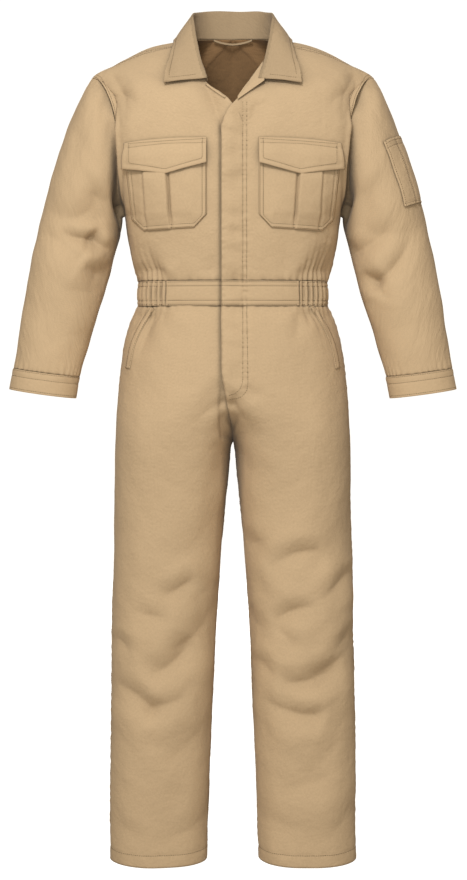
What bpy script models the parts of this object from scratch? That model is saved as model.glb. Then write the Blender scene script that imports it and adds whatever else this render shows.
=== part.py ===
"""Boiler suit, worn form with no wearer: every cut piece is a thin wall of cloth.

Frame: +X is the wearer's left, the front faces -Y, +Z is up. The origin is the centre of the neck at
shoulder height. Sizes are metres. A half of the suit is worked out on the wearer's left and mirrored.
"""
import bpy
import numpy as np
from math import cos, pi, sin
from mathutils import Vector
from mathutils.bvhtree import BVHTree

# ---------------------------------------------------------------------------------- driving sizes
WALL = 0.0016            # cloth wall of the panels
TRIM_WALL = 0.0012       # cloth wall of the collar, pockets, flaps and facings
SEAM = 0.00045           # gap between two pieces that are sewn together
TOUCH = 1e-5             # points nearer than this are one point of a seam
LEAST_MITRE = 0.35       # keeps the trim at a sharp corner from running out
LEAST_GAP = 0.0007       # least gap between a panel's wall and a piece that lies on it
CLEARING_ROUNDS = 5      # rounds of moving such a piece clear

LAP = 0.0195             # the left front passes the centre line by this much
UNDERLAP = 0.0180        # the right front reaches this far under the left front
FLY_RAISE = 0.0032       # the fly stands this far above the right front
FLY_RAISED_TO = 0.11     # share of the panel's width that is fully raised
FLY_FLAT_FROM = 0.22     # share of the panel's width where the raise has ended
FLY_TOP_Z = (-0.1250, -0.1050)       # the raise ends between these, at the top
FLY_LOW_Z = (-0.6550, -0.6220)       # and between these, at the bottom
LAP_ENDS_Z = (-0.6220, -0.5980)      # the laps run out between these, below the fly
LAP_ENDS_ROW = (6.3, 7.3)            # and between these bodice rows, at the neck

WAIST_TOP_Z = -0.4270
WAIST_LOW_Z = -0.4703
ELASTIC_SHARE = 0.5054   # share of a half panel's width where the elastic starts
UNDERARM_ROW = 3.0       # bodice row of the underarm point
TOP_ROW = 11.0           # bodice row of the shoulder seam
CROTCH_Z = -0.7050
HEM_Z = -1.4600
SIDE_Y = 0.005           # the side seams lie just behind the middle

SHOULDER = (0.2535, -0.0594)     # x, z of the shoulder point
UNDERARM = (0.1935, -0.3096)     # x, z of the underarm point
ARMHOLE_DEPTH = 0.078            # half of the armhole, front to back
ARMHOLE_BOW = (0.023, 0.013)     # how far the armhole curves in: middle, and more towards the top

PANEL_SHARES = (0.0, 0.11, 0.22, 0.35, ELASTIC_SHARE, 0.61, 0.70, 0.78, 0.86, 0.93, 1.0)
LEG_SHARES = (0.0, 0.11, 0.22, 0.38, 0.54, 0.70, 0.85, 1.0)
RING = 16                # sides of a sleeve ring; half of them lie on each side of the armhole
ELASTIC_STEPS = 11       # columns of the elastic on each side of the side seam
PUCKER = 0.0016          # how far the elastic's gathers stand in and out
BAND_BLEND_Z = -0.5300   # above this the trousers take on the form of the waistband

# bodice centre edge by row: the centre line below, then the neckline up to the shoulder seam
FRONT_EDGE = (
    # row    x       y        z
    (0.0, 0.0, -0.112, WAIST_TOP_Z),
    (1.0, 0.0, -0.117, -0.395),
    (2.0, 0.0, -0.122, -0.355),
    (3.0, 0.0, -0.126, -0.315),
    (4.0, 0.0, -0.129, -0.275),
    (5.0, 0.0, -0.130, -0.232),
    (6.0, 0.0, -0.128, -0.186),
    (7.0, 0.0, -0.121, -0.1270),
    (8.0, 0.0205, -0.112, -0.1015),
    (9.0, 0.0452, -0.095, -0.0795),
    (10.0, 0.0640, -0.054, -0.036),
    (11.0, 0.0710, -0.012, 0.000),
)
BACK_EDGE = (
    (0.0, 0.0, 0.100, WAIST_TOP_Z),
    (1.0, 0.0, 0.106, -0.395),
    (2.0, 0.0, 0.113, -0.355),
    (3.0, 0.0, 0.119, -0.315),
    (4.0, 0.0, 0.124, -0.250),
    (5.0, 0.0, 0.124, -0.165),
    (6.0, 0.0, 0.110, -0.070),
    (7.0, 0.0, 0.066, 0.020),
    (8.0, 0.034, 0.060, 0.0195),
    (9.0, 0.058, 0.040, 0.016),
    (10.0, 0.071, 0.012, 0.009),
    (11.0, 0.0710, -0.012, 0.000),
)
# side seam of the bodice, from the waist to the underarm
SIDE_SEAM = (
    # row    x       z
    (0.0, 0.1690, WAIST_TOP_Z),
    (1.0, 0.1790, -0.395),
    (2.0, 0.1870, -0.355),
    (3.0, UNDERARM[0], UNDERARM[1]),
)
# how a bodice row runs from its centre edge to its side: 1 is straight, 2 is round, more is squarer
FRONT_FORM = (
    # row  squareness  drop   bow_y    bow_z
    (0.0, 2.5, 0.5, 0.000, 0.000),
    (4.0, 2.7, 0.5, 0.000, 0.000),
    (7.0, 2.4, 0.6, 0.000, 0.000),
    (9.0, 1.9, 1.0, -0.004, 0.005),
    (11.0, 1.2, 1.0, -0.018, 0.009),
)
BACK_FORM = (
    (0.0, 2.5, 0.5, 0.000, 0.000),
    (4.0, 2.5, 0.5, 0.000, 0.000),
    (7.0, 2.2, 1.0, 0.016, 0.000),
    (9.0, 1.6, 1.0, 0.018, 0.014),
    (10.0, 1.3, 1.0, 0.006, 0.017),
    (11.0, 1.2, 1.0, -0.018, 0.009),
)
# trousers above the crotch: half-width, depths, and where the two legs part (0 is one round body)
HIPS = (
    # z         width   front   back   parting
    (WAIST_LOW_Z, 0.1700, 0.112, 0.100, 0.00),
    (-0.500, 0.1840, 0.119, 0.108, 0.00),
    (-0.531, 0.1925, 0.124, 0.117, 0.01),
    (-0.565, 0.1985, 0.127, 0.126, 0.05),
    (-0.600, 0.2030, 0.127, 0.132, 0.12),
    (-0.650, 0.2072, 0.124, 0.134, 0.33),
    (-0.680, 0.2090, 0.121, 0.132, 0.45),
    (-0.698, 0.2098, 0.119, 0.130, 0.492),
    (CROTCH_Z, 0.2100, 0.118, 0.129, 0.50),
)
# legs: inner edge, outer edge and half-depths of each section
LEG = (
    # z        inner   outer   front   back
    (CROTCH_Z, 0.0000, 0.2100, 0.118, 0.129),
    (-0.722, 0.0036, 0.2104, 0.114, 0.125),
    (-0.783, 0.0090, 0.2112, 0.104, 0.114),
    (-0.855, 0.0165, 0.2125, 0.098, 0.104),
    (-0.999, 0.0280, 0.2160, 0.089, 0.092),
    (-1.143, 0.0351, 0.2187, 0.080, 0.084),
    (-1.287, 0.0414, 0.2205, 0.072, 0.076),
    (HEM_Z, 0.0470, 0.2212, 0.065, 0.068),
)
LEG_SQUARENESS = 2.25
# rows of the trouser panels, closer together at the knee folds
LEG_ROWS = (-0.722, -0.775, -0.835, -0.895, -0.935, -0.970, -1.005, -1.040,
            -1.080, -1.120, -1.160, -1.200, -1.260, -1.330, -1.395, HEM_Z)
# sleeve sections: outer and inner edge, middle from front to back, half-depth, share of armhole bow
SLEEVE = (
    # length outer_x  outer_z   inner_x  inner_z   mid_y  depth   bow
    (0.0, SHOULDER[0], SHOULDER[1], UNDERARM[0], UNDERARM[1], SIDE_Y, ARMHOLE_DEPTH, 1.0),
    (1.0, 0.2690, -0.0860, 0.1980, -0.3112, 0.005, 0.083, 0.22),
    (2.0, 0.2950, -0.1480, 0.1988, -0.3180, 0.004, 0.084, 0.05),
    (3.0, 0.3170, -0.2110, 0.2000, -0.3290, 0.003, 0.081, 0.0),
    (4.0, 0.3345, -0.2740, 0.2030, -0.3420, 0.002, 0.078, 0.0),
    (5.0, 0.3465, -0.3230, 0.2085, -0.3620, 0.000, 0.075, 0.0),
    (6.0, 0.3600, -0.3840, 0.2195, -0.4020, -0.004, 0.070, 0.0),
    (7.0, 0.3705, -0.4460, 0.2345, -0.4590, -0.011, 0.063, 0.0),
    (8.0, 0.3815, -0.5200, 0.2555, -0.5300, -0.021, 0.054, 0.0),
    (9.0, 0.3895, -0.5810, 0.2735, -0.5960, -0.030, 0.045, 0.0),
    (10.0, 0.3960, -0.6180, 0.2805, -0.6340, -0.035, 0.042, 0.0),
)
CUFF_FROM = 9.0          # sleeve section where the cuff is sewn on
SLEEVE_ROWS = (0.0, 1.0, 2.0, 3.0, 4.0, 4.6, 5.2, 5.7, 6.2, 6.7, 7.3, 8.0, 8.5, CUFF_FROM)

# largest folds: a soft trough from one point to another, on the front, and like ones on the back
FOLDS = (
    # face    x1      z1      x2      z2     half_width depth
    ("front", -0.300, -0.341, -0.226, -0.362, 0.016, 0.007),
    ("front", -0.345, -0.338, -0.281, -0.384, 0.016, 0.006),
    ("front", 0.288, -0.317, 0.216, -0.372, 0.016, 0.006),
    ("front", 0.320, -0.346, 0.254, -0.428, 0.018, 0.008),
    ("back", -0.240, -0.372, -0.340, -0.410, 0.018, 0.006),
    ("back", 0.235, -0.375, 0.350, -0.400, 0.018, 0.007),
    ("front", -0.184, -1.000, -0.077, -1.020, 0.020, 0.006),
    ("front", -0.145, -1.140, -0.079, -1.085, 0.020, 0.008),
    ("front", 0.070, -0.915, 0.139, -0.943, 0.020, 0.006),
    ("front", 0.101, -1.096, 0.200, -1.150, 0.020, 0.008),
    ("front", 0.061, -1.190, 0.148, -1.215, 0.018, 0.005),
    ("back", -0.190, -1.060, -0.070, -1.020, 0.020, 0.007),
    ("back", -0.160, -0.760, -0.040, -0.800, 0.022, 0.006),
    ("back", 0.060, -0.770, 0.170, -0.800, 0.022, 0.006),
    ("back", 0.075, -1.030, 0.190, -1.060, 0.020, 0.007),
    ("front", -0.016, -0.640, -0.060, -0.690, 0.014, 0.004),
    ("front", 0.018, -0.655, 0.060, -0.720, 0.014, 0.004),
)

FOLD_ENDS = 0.55         # a fold's depth at its ends, as a share of the depth at its middle
FOLD_FACING = 0.6        # folds fade where the cloth turns to the side more than this

# collar: its seam, its roll line and its free edge at stations from the centre back to the front end
COLLAR = (
    # station  seam x, y, z           roll x, y, z            edge x, y, z
    (0.0, 0.000, 0.066, 0.0200, 0.0000, 0.0780, 0.0770, 0.0000, 0.1040, 0.0150),
    (1.0, 0.034, 0.060, 0.0195, 0.0440, 0.0680, 0.0755, 0.0600, 0.0960, 0.0120),
    (2.0, 0.058, 0.040, 0.0160, 0.0640, 0.0420, 0.0680, 0.1000, 0.0580, 0.0080),
    (3.0, 0.071, 0.012, 0.0090, 0.0710, 0.0080, 0.0590, 0.1060, 0.0100, 0.0085),
    (4.0, 0.071, -0.012, 0.0000, 0.0690, -0.0220, 0.0370, 0.1070, -0.0300, -0.0060),
    (5.0, 0.064, -0.054, -0.0360, 0.0580, -0.0640, -0.0230, 0.1140, -0.0780, -0.0450),
    (6.0, 0.0452, -0.095, -0.0795, 0.0450, -0.1010, -0.0750, 0.1200, -0.1040, -0.0830),
)
COLLAR_STATIONS = (0.0, 0.8, 1.5, 2.1, 2.7, 3.3, 3.9, 4.6, 5.3, 6.0)
COLLAR_LIFT = 0.0045     # the turned-down leaf lies this far above the bodice
COLLAR_ROLL = 0.0014     # the fold rises this far over the roll line
STAND_START = 0.0016     # the collar's seam edge starts this far above the neckline
STAND_MIDDLE = 0.5       # share of the stand's height where it has a point
LEAF_SHARES = (0.10, 0.32, 0.55, 0.78, 1.0)

# chest pockets on the wearer's left, seen from the front
POCKET_INNER_X = 0.0450
POCKET_OUTER_X = (0.1880, 0.1765)        # at the mouth and at the bottom
POCKET_TOP_Z = -0.1930
POCKET_LOW_Z = -0.3350
POCKET_CHAMFER = 0.0220
POCKET_SLOPE = -0.047                    # the outer side hangs lower, per metre of width
POCKET_LIFT = 0.0026
PLEAT_X = (0.1100, 0.1520)               # the pleat's folded edge and its far side
PLEAT_LIFT = 0.0014
FLAP_X = (0.0445, 0.1905)
FLAP_TOP_Z = -0.1810
FLAP_SIDE_Z = -0.2250
FLAP_POINT_X = 0.1165
FLAP_POINT_Z = -0.2402
FLAP_LIFT = (0.0026, 0.0072)             # at the sewn edge and at the free edge
FLAP_RISES = 0.3                         # share of its height over which it lifts
# shares of the width and the height where the bag and the flap have points
POCKET_COLUMNS = (0.0, 0.16, 0.32, 0.455, 0.475, 0.62, 0.755, 0.775, 0.845, 0.93, 1.0)
POCKET_ROWS = (0.0, 0.25, 0.5, 0.75, 1.0)
FLAP_COLUMNS = (0.0, 0.17, 0.34, (FLAP_POINT_X - FLAP_X[0]) / (FLAP_X[1] - FLAP_X[0]),
                0.62, 0.75, 0.88, 1.0)
FLAP_ROWS = (0.0, 0.25, 0.5, 0.75, 1.0)

# pen pocket round the outside of the left sleeve
PEN_TURNS = (-8.0, 6.0, 20.0, 32.0, 37.0, 39.0, 50.0, 62.0)     # degrees round it, back to front
PEN_BACK = (2.28, 4.20)                  # sleeve sections of its mouth and its bottom at the back edge
PEN_RISE = (0.48, 0.10)                  # and how much higher each of them is at the front edge
PEN_DIVIDE = 38.0                        # degrees where its front part laps over the back part
PEN_LAP = 0.0012
PEN_LIFT = 0.0030
# side pocket opening on the wearer's left: x, z along it
SIDE_POCKET = ((0.1460, -0.4760), (0.1660, -0.5050), (0.1810, -0.5400), (0.1890, -0.5800))
SIDE_POCKET_WIDTH = 0.009
SIDE_POCKET_LIFT = 0.0020

FACING_LEFT = ((0.0040, -0.1190), (0.0440, -0.0830), (0.0520, -0.0950))   # apex, upper, outer corner
FACING_RIGHT = ((0.0440, -0.0830), (0.0240, -0.1010))                     # along the neck edge
FACING_LIFT = 0.0024
LOOP_HALF = 0.035
LOOP_SAG = 0.010
LOOP_HEIGHT = 0.006
LOOP_IN = 0.0020         # the loop hangs this far inside the neck seam
LOOP_LEAN = 0.0010

KHAKI = (0.61, 0.46, 0.29, 1.0)
KHAKI_DARK = (0.52, 0.38, 0.23, 1.0)


# ---------------------------------------------------------------------------------- small tools
def smooth(table, at):
    """All columns after the first, read at a value of the first by a smooth curve through the rows."""
    rows = np.array(table, float)
    keys = rows[:, 0]
    values = rows[:, 1:]
    if keys[0] > keys[-1]:
        keys = keys[::-1]
        values = values[::-1]
    at = min(max(at, keys[0]), keys[-1])
    last = len(keys) - 1
    low = min(int(np.searchsorted(keys, at, side="right")) - 1, last - 1)
    span = keys[low + 1] - keys[low]
    share = (at - keys[low]) / span
    slope = (values[low + 1] - values[low]) / span
    before = slope if low == 0 else (values[low + 1] - values[low - 1]) / (keys[low + 1] - keys[low - 1])
    after = slope if low + 2 > last else (values[low + 2] - values[low]) / (keys[low + 2] - keys[low])
    square, cube = share ** 2, share ** 3
    return (values[low] * (2 * cube - 3 * square + 1) + before * span * (cube - 2 * square + share)
            + values[low + 1] * (3 * square - 2 * cube) + after * span * (cube - square))


def ease(value, start, end):
    """0 before start, 1 after end, soft between."""
    share = min(max((value - start) / (end - start), 0.0), 1.0)
    return share * share * (3 - 2 * share)


def mirrored(grid):
    return grid * np.array([-1.0, 1.0, 1.0])


# ---------------------------------------------------------------------------------- the forms
def sleeve_point(length, turn):
    """A point of the left sleeve: turn 0 is the outer edge, 90 degrees the front, 180 the underarm."""
    outer_x, outer_z, inner_x, inner_z, mid_y, depth, bow = smooth(SLEEVE, length)
    along = cos(turn)
    across = sin(turn)
    curve_in = bow * abs(across) * (ARMHOLE_BOW[0] + ARMHOLE_BOW[1] * along)
    x = (outer_x + inner_x) / 2 + along * (outer_x - inner_x) / 2 - curve_in
    z = (outer_z + inner_z) / 2 + along * (outer_z - inner_z) / 2
    return np.array([x, mid_y - across * depth, z])


def side_edge(row, face):
    """The side seam below the underarm, the armhole above it."""
    if row <= UNDERARM_ROW:
        x, z = smooth(SIDE_SEAM, row)
        return np.array([x, SIDE_Y, z])
    turn = pi * (1 - (row - UNDERARM_ROW) / (TOP_ROW - UNDERARM_ROW))
    return sleeve_point(0.0, turn if face == "front" else -turn)


def bodice_point(face, share, row, lap=0.0):
    """A point of the left half of the bodice; share 0 is its centre edge and 1 its side."""
    edge = smooth(FRONT_EDGE if face == "front" else BACK_EDGE, row)
    edge[0] -= lap * (1 - ease(row, *LAP_ENDS_ROW))
    side = side_edge(row, face)
    squareness, drop, bow_y, bow_z = smooth(FRONT_FORM if face == "front" else BACK_FORM, row)
    across = sin(share * pi / 2)
    round_off = 1 - (1 - across ** squareness) ** (1 / squareness) if share < 1 else 1.0
    bow = sin(pi * across)
    fall = drop * across + (1 - drop) * round_off
    return np.array([edge[0] + (side[0] - edge[0]) * across,
                     edge[1] + (side[1] - edge[1]) * round_off + bow_y * bow,
                     edge[2] + (side[2] - edge[2]) * fall + bow_z * bow])


def band_point(face, share, z, lap=0.0):
    """A point of the waistband, and of the first trouser row, on the form of the bodice's lowest row."""
    level = min(max((WAIST_TOP_Z - z) / (WAIST_TOP_Z - WAIST_LOW_Z), 0.0), 1.0)
    point = bodice_point(face, share, 0.0, lap)
    width = smooth(SIDE_SEAM, 0.0)[0]
    point[0] += level * (smooth(HIPS, WAIST_LOW_Z)[0] - width) * max(point[0], 0) / width
    point[2] = z
    return point


def leg_point(face, share, z, lap=0.0):
    """A point of a left trouser panel: one round body at the hips that parts into a leg tube."""
    if z >= CROTCH_Z:
        width, front, back, parting = smooth(HIPS, z)
        middle = width * min(parting, 0.5)
        half = width - middle
        inner_x = -lap * ease(z, *LAP_ENDS_Z)
    else:
        inner_x, outer, front, back = smooth(LEG, z)
        middle = (inner_x + outer) / 2
        half = outer - middle
    depth = -front if face == "front" else back
    reach = min(max((middle - inner_x) / half, -1.0), 1.0)
    start = -np.sign(reach) * np.arcsin(abs(reach) ** (LEG_SQUARENESS / 2))
    turn = start + (pi / 2 - start) * share
    x = middle + half * np.sign(sin(turn)) * abs(sin(turn)) ** (2 / LEG_SQUARENESS)
    aside = min(abs(abs(x) - middle) / half, 1.0) if share > 0 or x < 0 else abs(reach)
    bulge = max(1 - aside ** LEG_SQUARENESS, 0.0) ** (1 / LEG_SQUARENESS)
    point = np.array([x, SIDE_Y + (depth - SIDE_Y) * bulge, z])
    if z > BAND_BLEND_Z:
        blend = ease(z, BAND_BLEND_Z, WAIST_LOW_Z)
        above = band_point(face, share, WAIST_LOW_Z, lap)
        above[2] = z
        above[:2] *= smooth(HIPS, z)[0] / smooth(HIPS, WAIST_LOW_Z)[0]
        point = point * (1 - blend) + above * blend
    return point


def fly_raise(share, z):
    """How far the left front stands out over the right one, by share of the width and height."""
    across = 1 - min(max((share - FLY_RAISED_TO) / (FLY_FLAT_FROM - FLY_RAISED_TO), 0.0), 1.0)
    return FLY_RAISE * across * ease(z, *FLY_LOW_Z) * (1 - ease(z, *FLY_TOP_Z))


# ---------------------------------------------------------------------------------- grids of points
def grid_of(point, rows, shares):
    return np.array([[point(share, row) for share in shares] for row in rows])


BODICE_ROWS = tuple(np.arange(0.0, TOP_ROW + 0.5, 1.0))
WAIST_ROWS = (WAIST_TOP_Z, (WAIST_TOP_Z + WAIST_LOW_Z) / 2, WAIST_LOW_Z)
HIP_ROWS = (WAIST_LOW_Z, -0.500, -0.531, -0.565, -0.598, -0.622, -0.655, -0.682, -0.698, CROTCH_Z)
SPLIT = PANEL_SHARES.index(ELASTIC_SHARE)


def half_panels(side):
    """Grids of the half of the suit on one side, by node name."""
    hand = "left" if side > 0 else "right"
    lap = LAP if side > 0 else UNDERLAP
    turn_over = (lambda grid: grid) if side > 0 else mirrored

    def raised(grid, shares):
        out = grid.copy()
        if side > 0:
            for row in out:
                for column, share in enumerate(shares):
                    row[column, 1] -= fly_raise(share, row[column, 2])
        return out

    front = grid_of(lambda q, r: bodice_point("front", q, r, lap), BODICE_ROWS, PANEL_SHARES)
    back = grid_of(lambda q, r: bodice_point("back", q, r), BODICE_ROWS, PANEL_SHARES)
    band = grid_of(lambda q, z: band_point("front", q, z, lap), WAIST_ROWS, PANEL_SHARES)
    band_back = grid_of(lambda q, z: band_point("back", q, z), WAIST_ROWS, PANEL_SHARES)
    leg_rows = HIP_ROWS + LEG_ROWS
    leg_front = grid_of(lambda q, z: leg_point("front", q, z, lap), leg_rows, LEG_SHARES)
    leg_back = grid_of(lambda q, z: leg_point("back", q, z), leg_rows, LEG_SHARES)
    steps = np.linspace(ELASTIC_SHARE, 1.0, ELASTIC_STEPS)
    elastic = np.concatenate([
        grid_of(lambda q, z: band_point("front", q, z, lap), WAIST_ROWS, steps),
        grid_of(lambda q, z: band_point("back", q, z), WAIST_ROWS, steps[::-1][1:])], axis=1)
    for column in range(1, elastic.shape[1] - 1):
        sign = 1 if column % 2 else -1
        flat = elastic[1, column, :2]
        elastic[1, column, :2] = flat * (1 + sign * PUCKER / np.linalg.norm(flat))
    turns = [2 * pi * step / RING for step in range(RING)]
    sleeve = np.array([[sleeve_point(row, turn) for turn in turns] for row in SLEEVE_ROWS])
    cuff_rows = (CUFF_FROM, 9.5, 10.0)
    cuff = np.array([[sleeve_point(row, turn) for turn in turns] for row in cuff_rows])
    grids = {
        "front_" + hand: raised(front, PANEL_SHARES),
        "back_half_" + hand: back,
        "waistband_front_" + hand: raised(band[:, :SPLIT + 1], PANEL_SHARES[:SPLIT + 1]),
        "waistband_side_" + hand: elastic,
        "waistband_back_half_" + hand: band_back[:, :SPLIT + 1],
        "leg_front_" + hand: raised(leg_front, LEG_SHARES),
        "leg_back_" + hand: leg_back,
        "sleeve_" + hand: sleeve,
        "cuff_" + hand: cuff,
    }
    return {name: turn_over(grid) for name, grid in grids.items()}


def is_tube(name):
    return name.startswith(("sleeve", "cuff"))


def grid_faces(grid, tube, first=0):
    """Quads of a grid of points, as indices that start at first; a tube closes on itself."""
    rows, columns = grid.shape[:2]
    faces = []
    for row in range(rows - 1):
        for column in range(columns if tube else columns - 1):
            beside = (column + 1) % columns
            faces.append((first + row * columns + column, first + row * columns + beside,
                          first + (row + 1) * columns + beside, first + (row + 1) * columns + column))
    return faces


def core_of(name, point):
    """A point inside the hollow that a panel goes round, level with the given point."""
    side = 1.0 if "left" in name else -1.0
    if name.startswith("leg") and point[2] < CROTCH_Z:
        return np.array([side * 0.118, 0.0, point[2]])
    return np.array([0.0, 0.0, point[2]])


def facing_out(points, faces, name):
    """The faces, turned so that their normals point away from the hollow."""
    total = 0.0
    tube_middle = points.mean(axis=0)
    for face in faces:
        corners = points[list(face)]
        middle = corners.mean(axis=0)
        normal = np.cross(corners[2] - corners[0], corners[3] - corners[1])
        if is_tube(name):
            axis = points[np.abs(points[:, 2] - middle[2]) < 0.05].mean(axis=0)
            inside = axis if len(axis) else tube_middle
        else:
            inside = core_of(name, middle)
        total += float(np.dot(normal, middle - inside))
    return faces if total > 0 else [face[::-1] for face in faces]


def spot(point):
    return tuple(int(round(value / TOUCH)) for value in point)


def shell_normals(shell):
    """One unit normal for each point of the whole shell, halfway between the parts that meet there."""
    parts = {}
    for name, grid in shell.items():
        part = "bodice" if name.startswith(("front", "back")) else name.split("_")[0]
        here = parts.setdefault(part, {})
        points = grid.reshape(-1, 3)
        for face in facing_out(points, grid_faces(grid, is_tube(name)), name):
            corners = points[list(face)]
            normal = np.cross(corners[2] - corners[0], corners[3] - corners[1])
            for corner in corners:
                here[spot(corner)] = here.get(spot(corner), 0) + normal
    total = {}
    for here in parts.values():
        for place, normal in here.items():
            total[place] = total.get(place, 0) + normal / np.linalg.norm(normal)
    for place, normal in total.items():
        height = place[2] * TOUCH
        if abs(height - WAIST_TOP_Z) < TOUCH * 2 or abs(height - WAIST_LOW_Z) < TOUCH * 2:
            normal = normal * np.array([1.0, 1.0, 0.0])
        total[place] = normal / np.linalg.norm(normal)
    return total


def fold_depth(point, normal):
    """How far the largest folds press the cloth in at a point."""
    face = "front" if normal[1] < 0 else "back"
    depth = 0.0
    for where, x1, z1, x2, z2, half_width, deep in FOLDS:
        if where != face:
            continue
        run = np.array([x2 - x1, z2 - z1])
        offset = np.array([point[0] - x1, point[2] - z1])
        along = float(np.dot(offset, run) / np.dot(run, run))
        nearest = min(max(along, 0.0), 1.0)
        distance = float(np.linalg.norm(offset - nearest * run))
        strength = FOLD_ENDS + (1 - FOLD_ENDS) * sin(pi * nearest)
        depth += deep * np.exp(-(distance / half_width) ** 2) * strength
    return depth * min(1.0, abs(normal[1]) / FOLD_FACING)


def folded(shell):
    """The shell with its largest folds pressed in along the shared normals."""
    normals = shell_normals(shell)
    out = {}
    for name, grid in shell.items():
        flat = grid.reshape(-1, 3).copy()
        for index, point in enumerate(grid.reshape(-1, 3)):
            normal = normals[spot(point)]
            flat[index] = point - normal * fold_depth(point, normal)
        out[name] = flat.reshape(grid.shape)
    return out


# ---------------------------------------------------------------------------------- solids
def material(name, colour):
    made = bpy.data.materials.new(name)
    made.use_nodes = True
    shader = made.node_tree.nodes["Principled BSDF"]
    shader.inputs["Base Color"].default_value = colour
    shader.inputs["Roughness"].default_value = 0.85
    return made


def edges_out(faces):
    """Directed edges that only one face has, which are the border of the sheet."""
    count = {}
    for face in faces:
        for n, corner in enumerate(face):
            edge = (corner, face[(n + 1) % len(face)])
            count[edge] = count.get(edge, 0) + 1
    return [edge for edge in count if (edge[1], edge[0]) not in count]


def wall(name, points, faces, normals, thickness=WALL, colour=KHAKI, trim=SEAM / 2):
    """A closed wall of cloth: the sheet moved out and in along its normals, trimmed and rimmed."""
    border = edges_out(faces)
    inward = {}
    for start, end in border:
        run = points[end] - points[start]
        run = run / np.linalg.norm(run)
        normal = normals[start] + normals[end]
        push = np.cross(normal, run)
        push = push / np.linalg.norm(push)
        for corner in (start, end):
            inward.setdefault(corner, []).append(push)
    placed = points.copy()
    for corner, pushes in inward.items():
        move = sum(pushes)
        if len(pushes) == 2:
            move = move / max(1 + float(np.dot(pushes[0], pushes[1])), LEAST_MITRE)
        placed[corner] = points[corner] + trim * move
    outer = placed + normals * thickness / 2
    inner = placed - normals * thickness / 2
    total = len(points)
    solid = list(faces)
    solid += [tuple(total + corner for corner in face[::-1]) for face in faces]
    solid += [(end, start, total + start, total + end) for start, end in border]
    mesh = bpy.data.meshes.new(name)
    mesh.from_pydata([tuple(p) for p in np.concatenate([outer, inner])], [], solid)
    mesh.validate()
    mesh.materials.append(material(name, colour))
    made = bpy.data.objects.new(name, mesh)
    bpy.context.scene.collection.objects.link(made)
    return made


def smooth_normals(points, faces):
    """Unit normals of a sheet's own points."""
    normals = np.zeros_like(points)
    for face in faces:
        corners = points[list(face)]
        around = corners - corners.mean(axis=0)
        normal = sum(np.cross(around[n - 1], around[n]) for n in range(len(face)))
        for corner in face:
            normals[corner] += normal
    return normals / np.linalg.norm(normals, axis=1)[:, None]


# ---------------------------------------------------------------------------------- what lies on a panel
def read_grid(grid, row, column):
    """A grid's point, or its normal, at a fractional row and column."""
    rows, columns = grid.shape[:2]
    row = min(max(row, 0.0), rows - 1.0)
    column = min(max(column, 0.0), columns - 1.0)
    low_row = min(int(row), rows - 2)
    low_column = min(int(column), columns - 2)
    a = row - low_row
    b = column - low_column
    return ((1 - a) * (1 - b) * grid[low_row, low_column] + (1 - a) * b * grid[low_row, low_column + 1]
            + a * (1 - b) * grid[low_row + 1, low_column] + a * b * grid[low_row + 1, low_column + 1])


def locate(grid, x, z):
    """The fractional row and column where a panel passes a given x and z."""
    gap = (grid[:, :, 0] - x) ** 2 + (grid[:, :, 2] - z) ** 2
    row, column = (float(n) for n in np.unravel_index(np.argmin(gap), gap.shape))
    step = 0.05
    for _ in range(25):
        here = read_grid(grid, row, column)
        by_row = (read_grid(grid, row + step, column) - read_grid(grid, row - step, column)) / (2 * step)
        by_column = (read_grid(grid, row, column + step) - read_grid(grid, row, column - step)) / (2 * step)
        slope = np.array([[by_row[0], by_column[0]], [by_row[2], by_column[2]]])
        miss = np.array([x - here[0], z - here[2]])
        move = np.linalg.lstsq(slope, miss, rcond=None)[0]
        row = min(max(row + float(np.clip(move[0], -0.5, 0.5)), 0.0), grid.shape[0] - 1.0)
        column = min(max(column + float(np.clip(move[1], -0.5, 0.5)), 0.0), grid.shape[1] - 1.0)
    return row, column


def laid_on(panel, normals, places, lifts):
    """A grid of points that lies on a panel: each x and z is moved out from the panel by its lift."""
    out = np.zeros((len(places), len(places[0]), 3))
    for r, line in enumerate(places):
        for c, (x, z) in enumerate(line):
            row, column = locate(panel, x, z)
            normal = read_grid(normals, row, column)
            normal = normal / np.linalg.norm(normal)
            out[r, c] = read_grid(panel, row, column) + normal * lifts[r][c]
    return out


def panel_tree(grid, normals):
    """A panel's sheet for distances, its faces turned to the side that its normals point to."""
    points = [Vector(point) for point in grid.reshape(-1, 3)]
    faces = grid_faces(grid, False)
    first = faces[len(faces) // 2]
    corners = grid.reshape(-1, 3)[list(first)]
    normal = np.cross(corners[2] - corners[0], corners[3] - corners[1])
    if float(np.dot(normal, normals.reshape(-1, 3)[first[0]])) < 0:
        faces = [face[::-1] for face in faces]
    return BVHTree.FromPolygons(points, faces)


# shares of a quad's four corners that give the places on it where its clearance is measured
CLEARING_SPOTS = ((0.25, 0.25, 0.25, 0.25), (0.5, 0.5, 0, 0), (0, 0.5, 0.5, 0), (0, 0, 0.5, 0.5),
                  (0.5, 0, 0, 0.5), (1, 0, 0, 0), (0, 1, 0, 0), (0, 0, 1, 0), (0, 0, 0, 1),
                  (0.5, 0, 0.5, 0), (0, 0.5, 0, 0.5))


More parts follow.
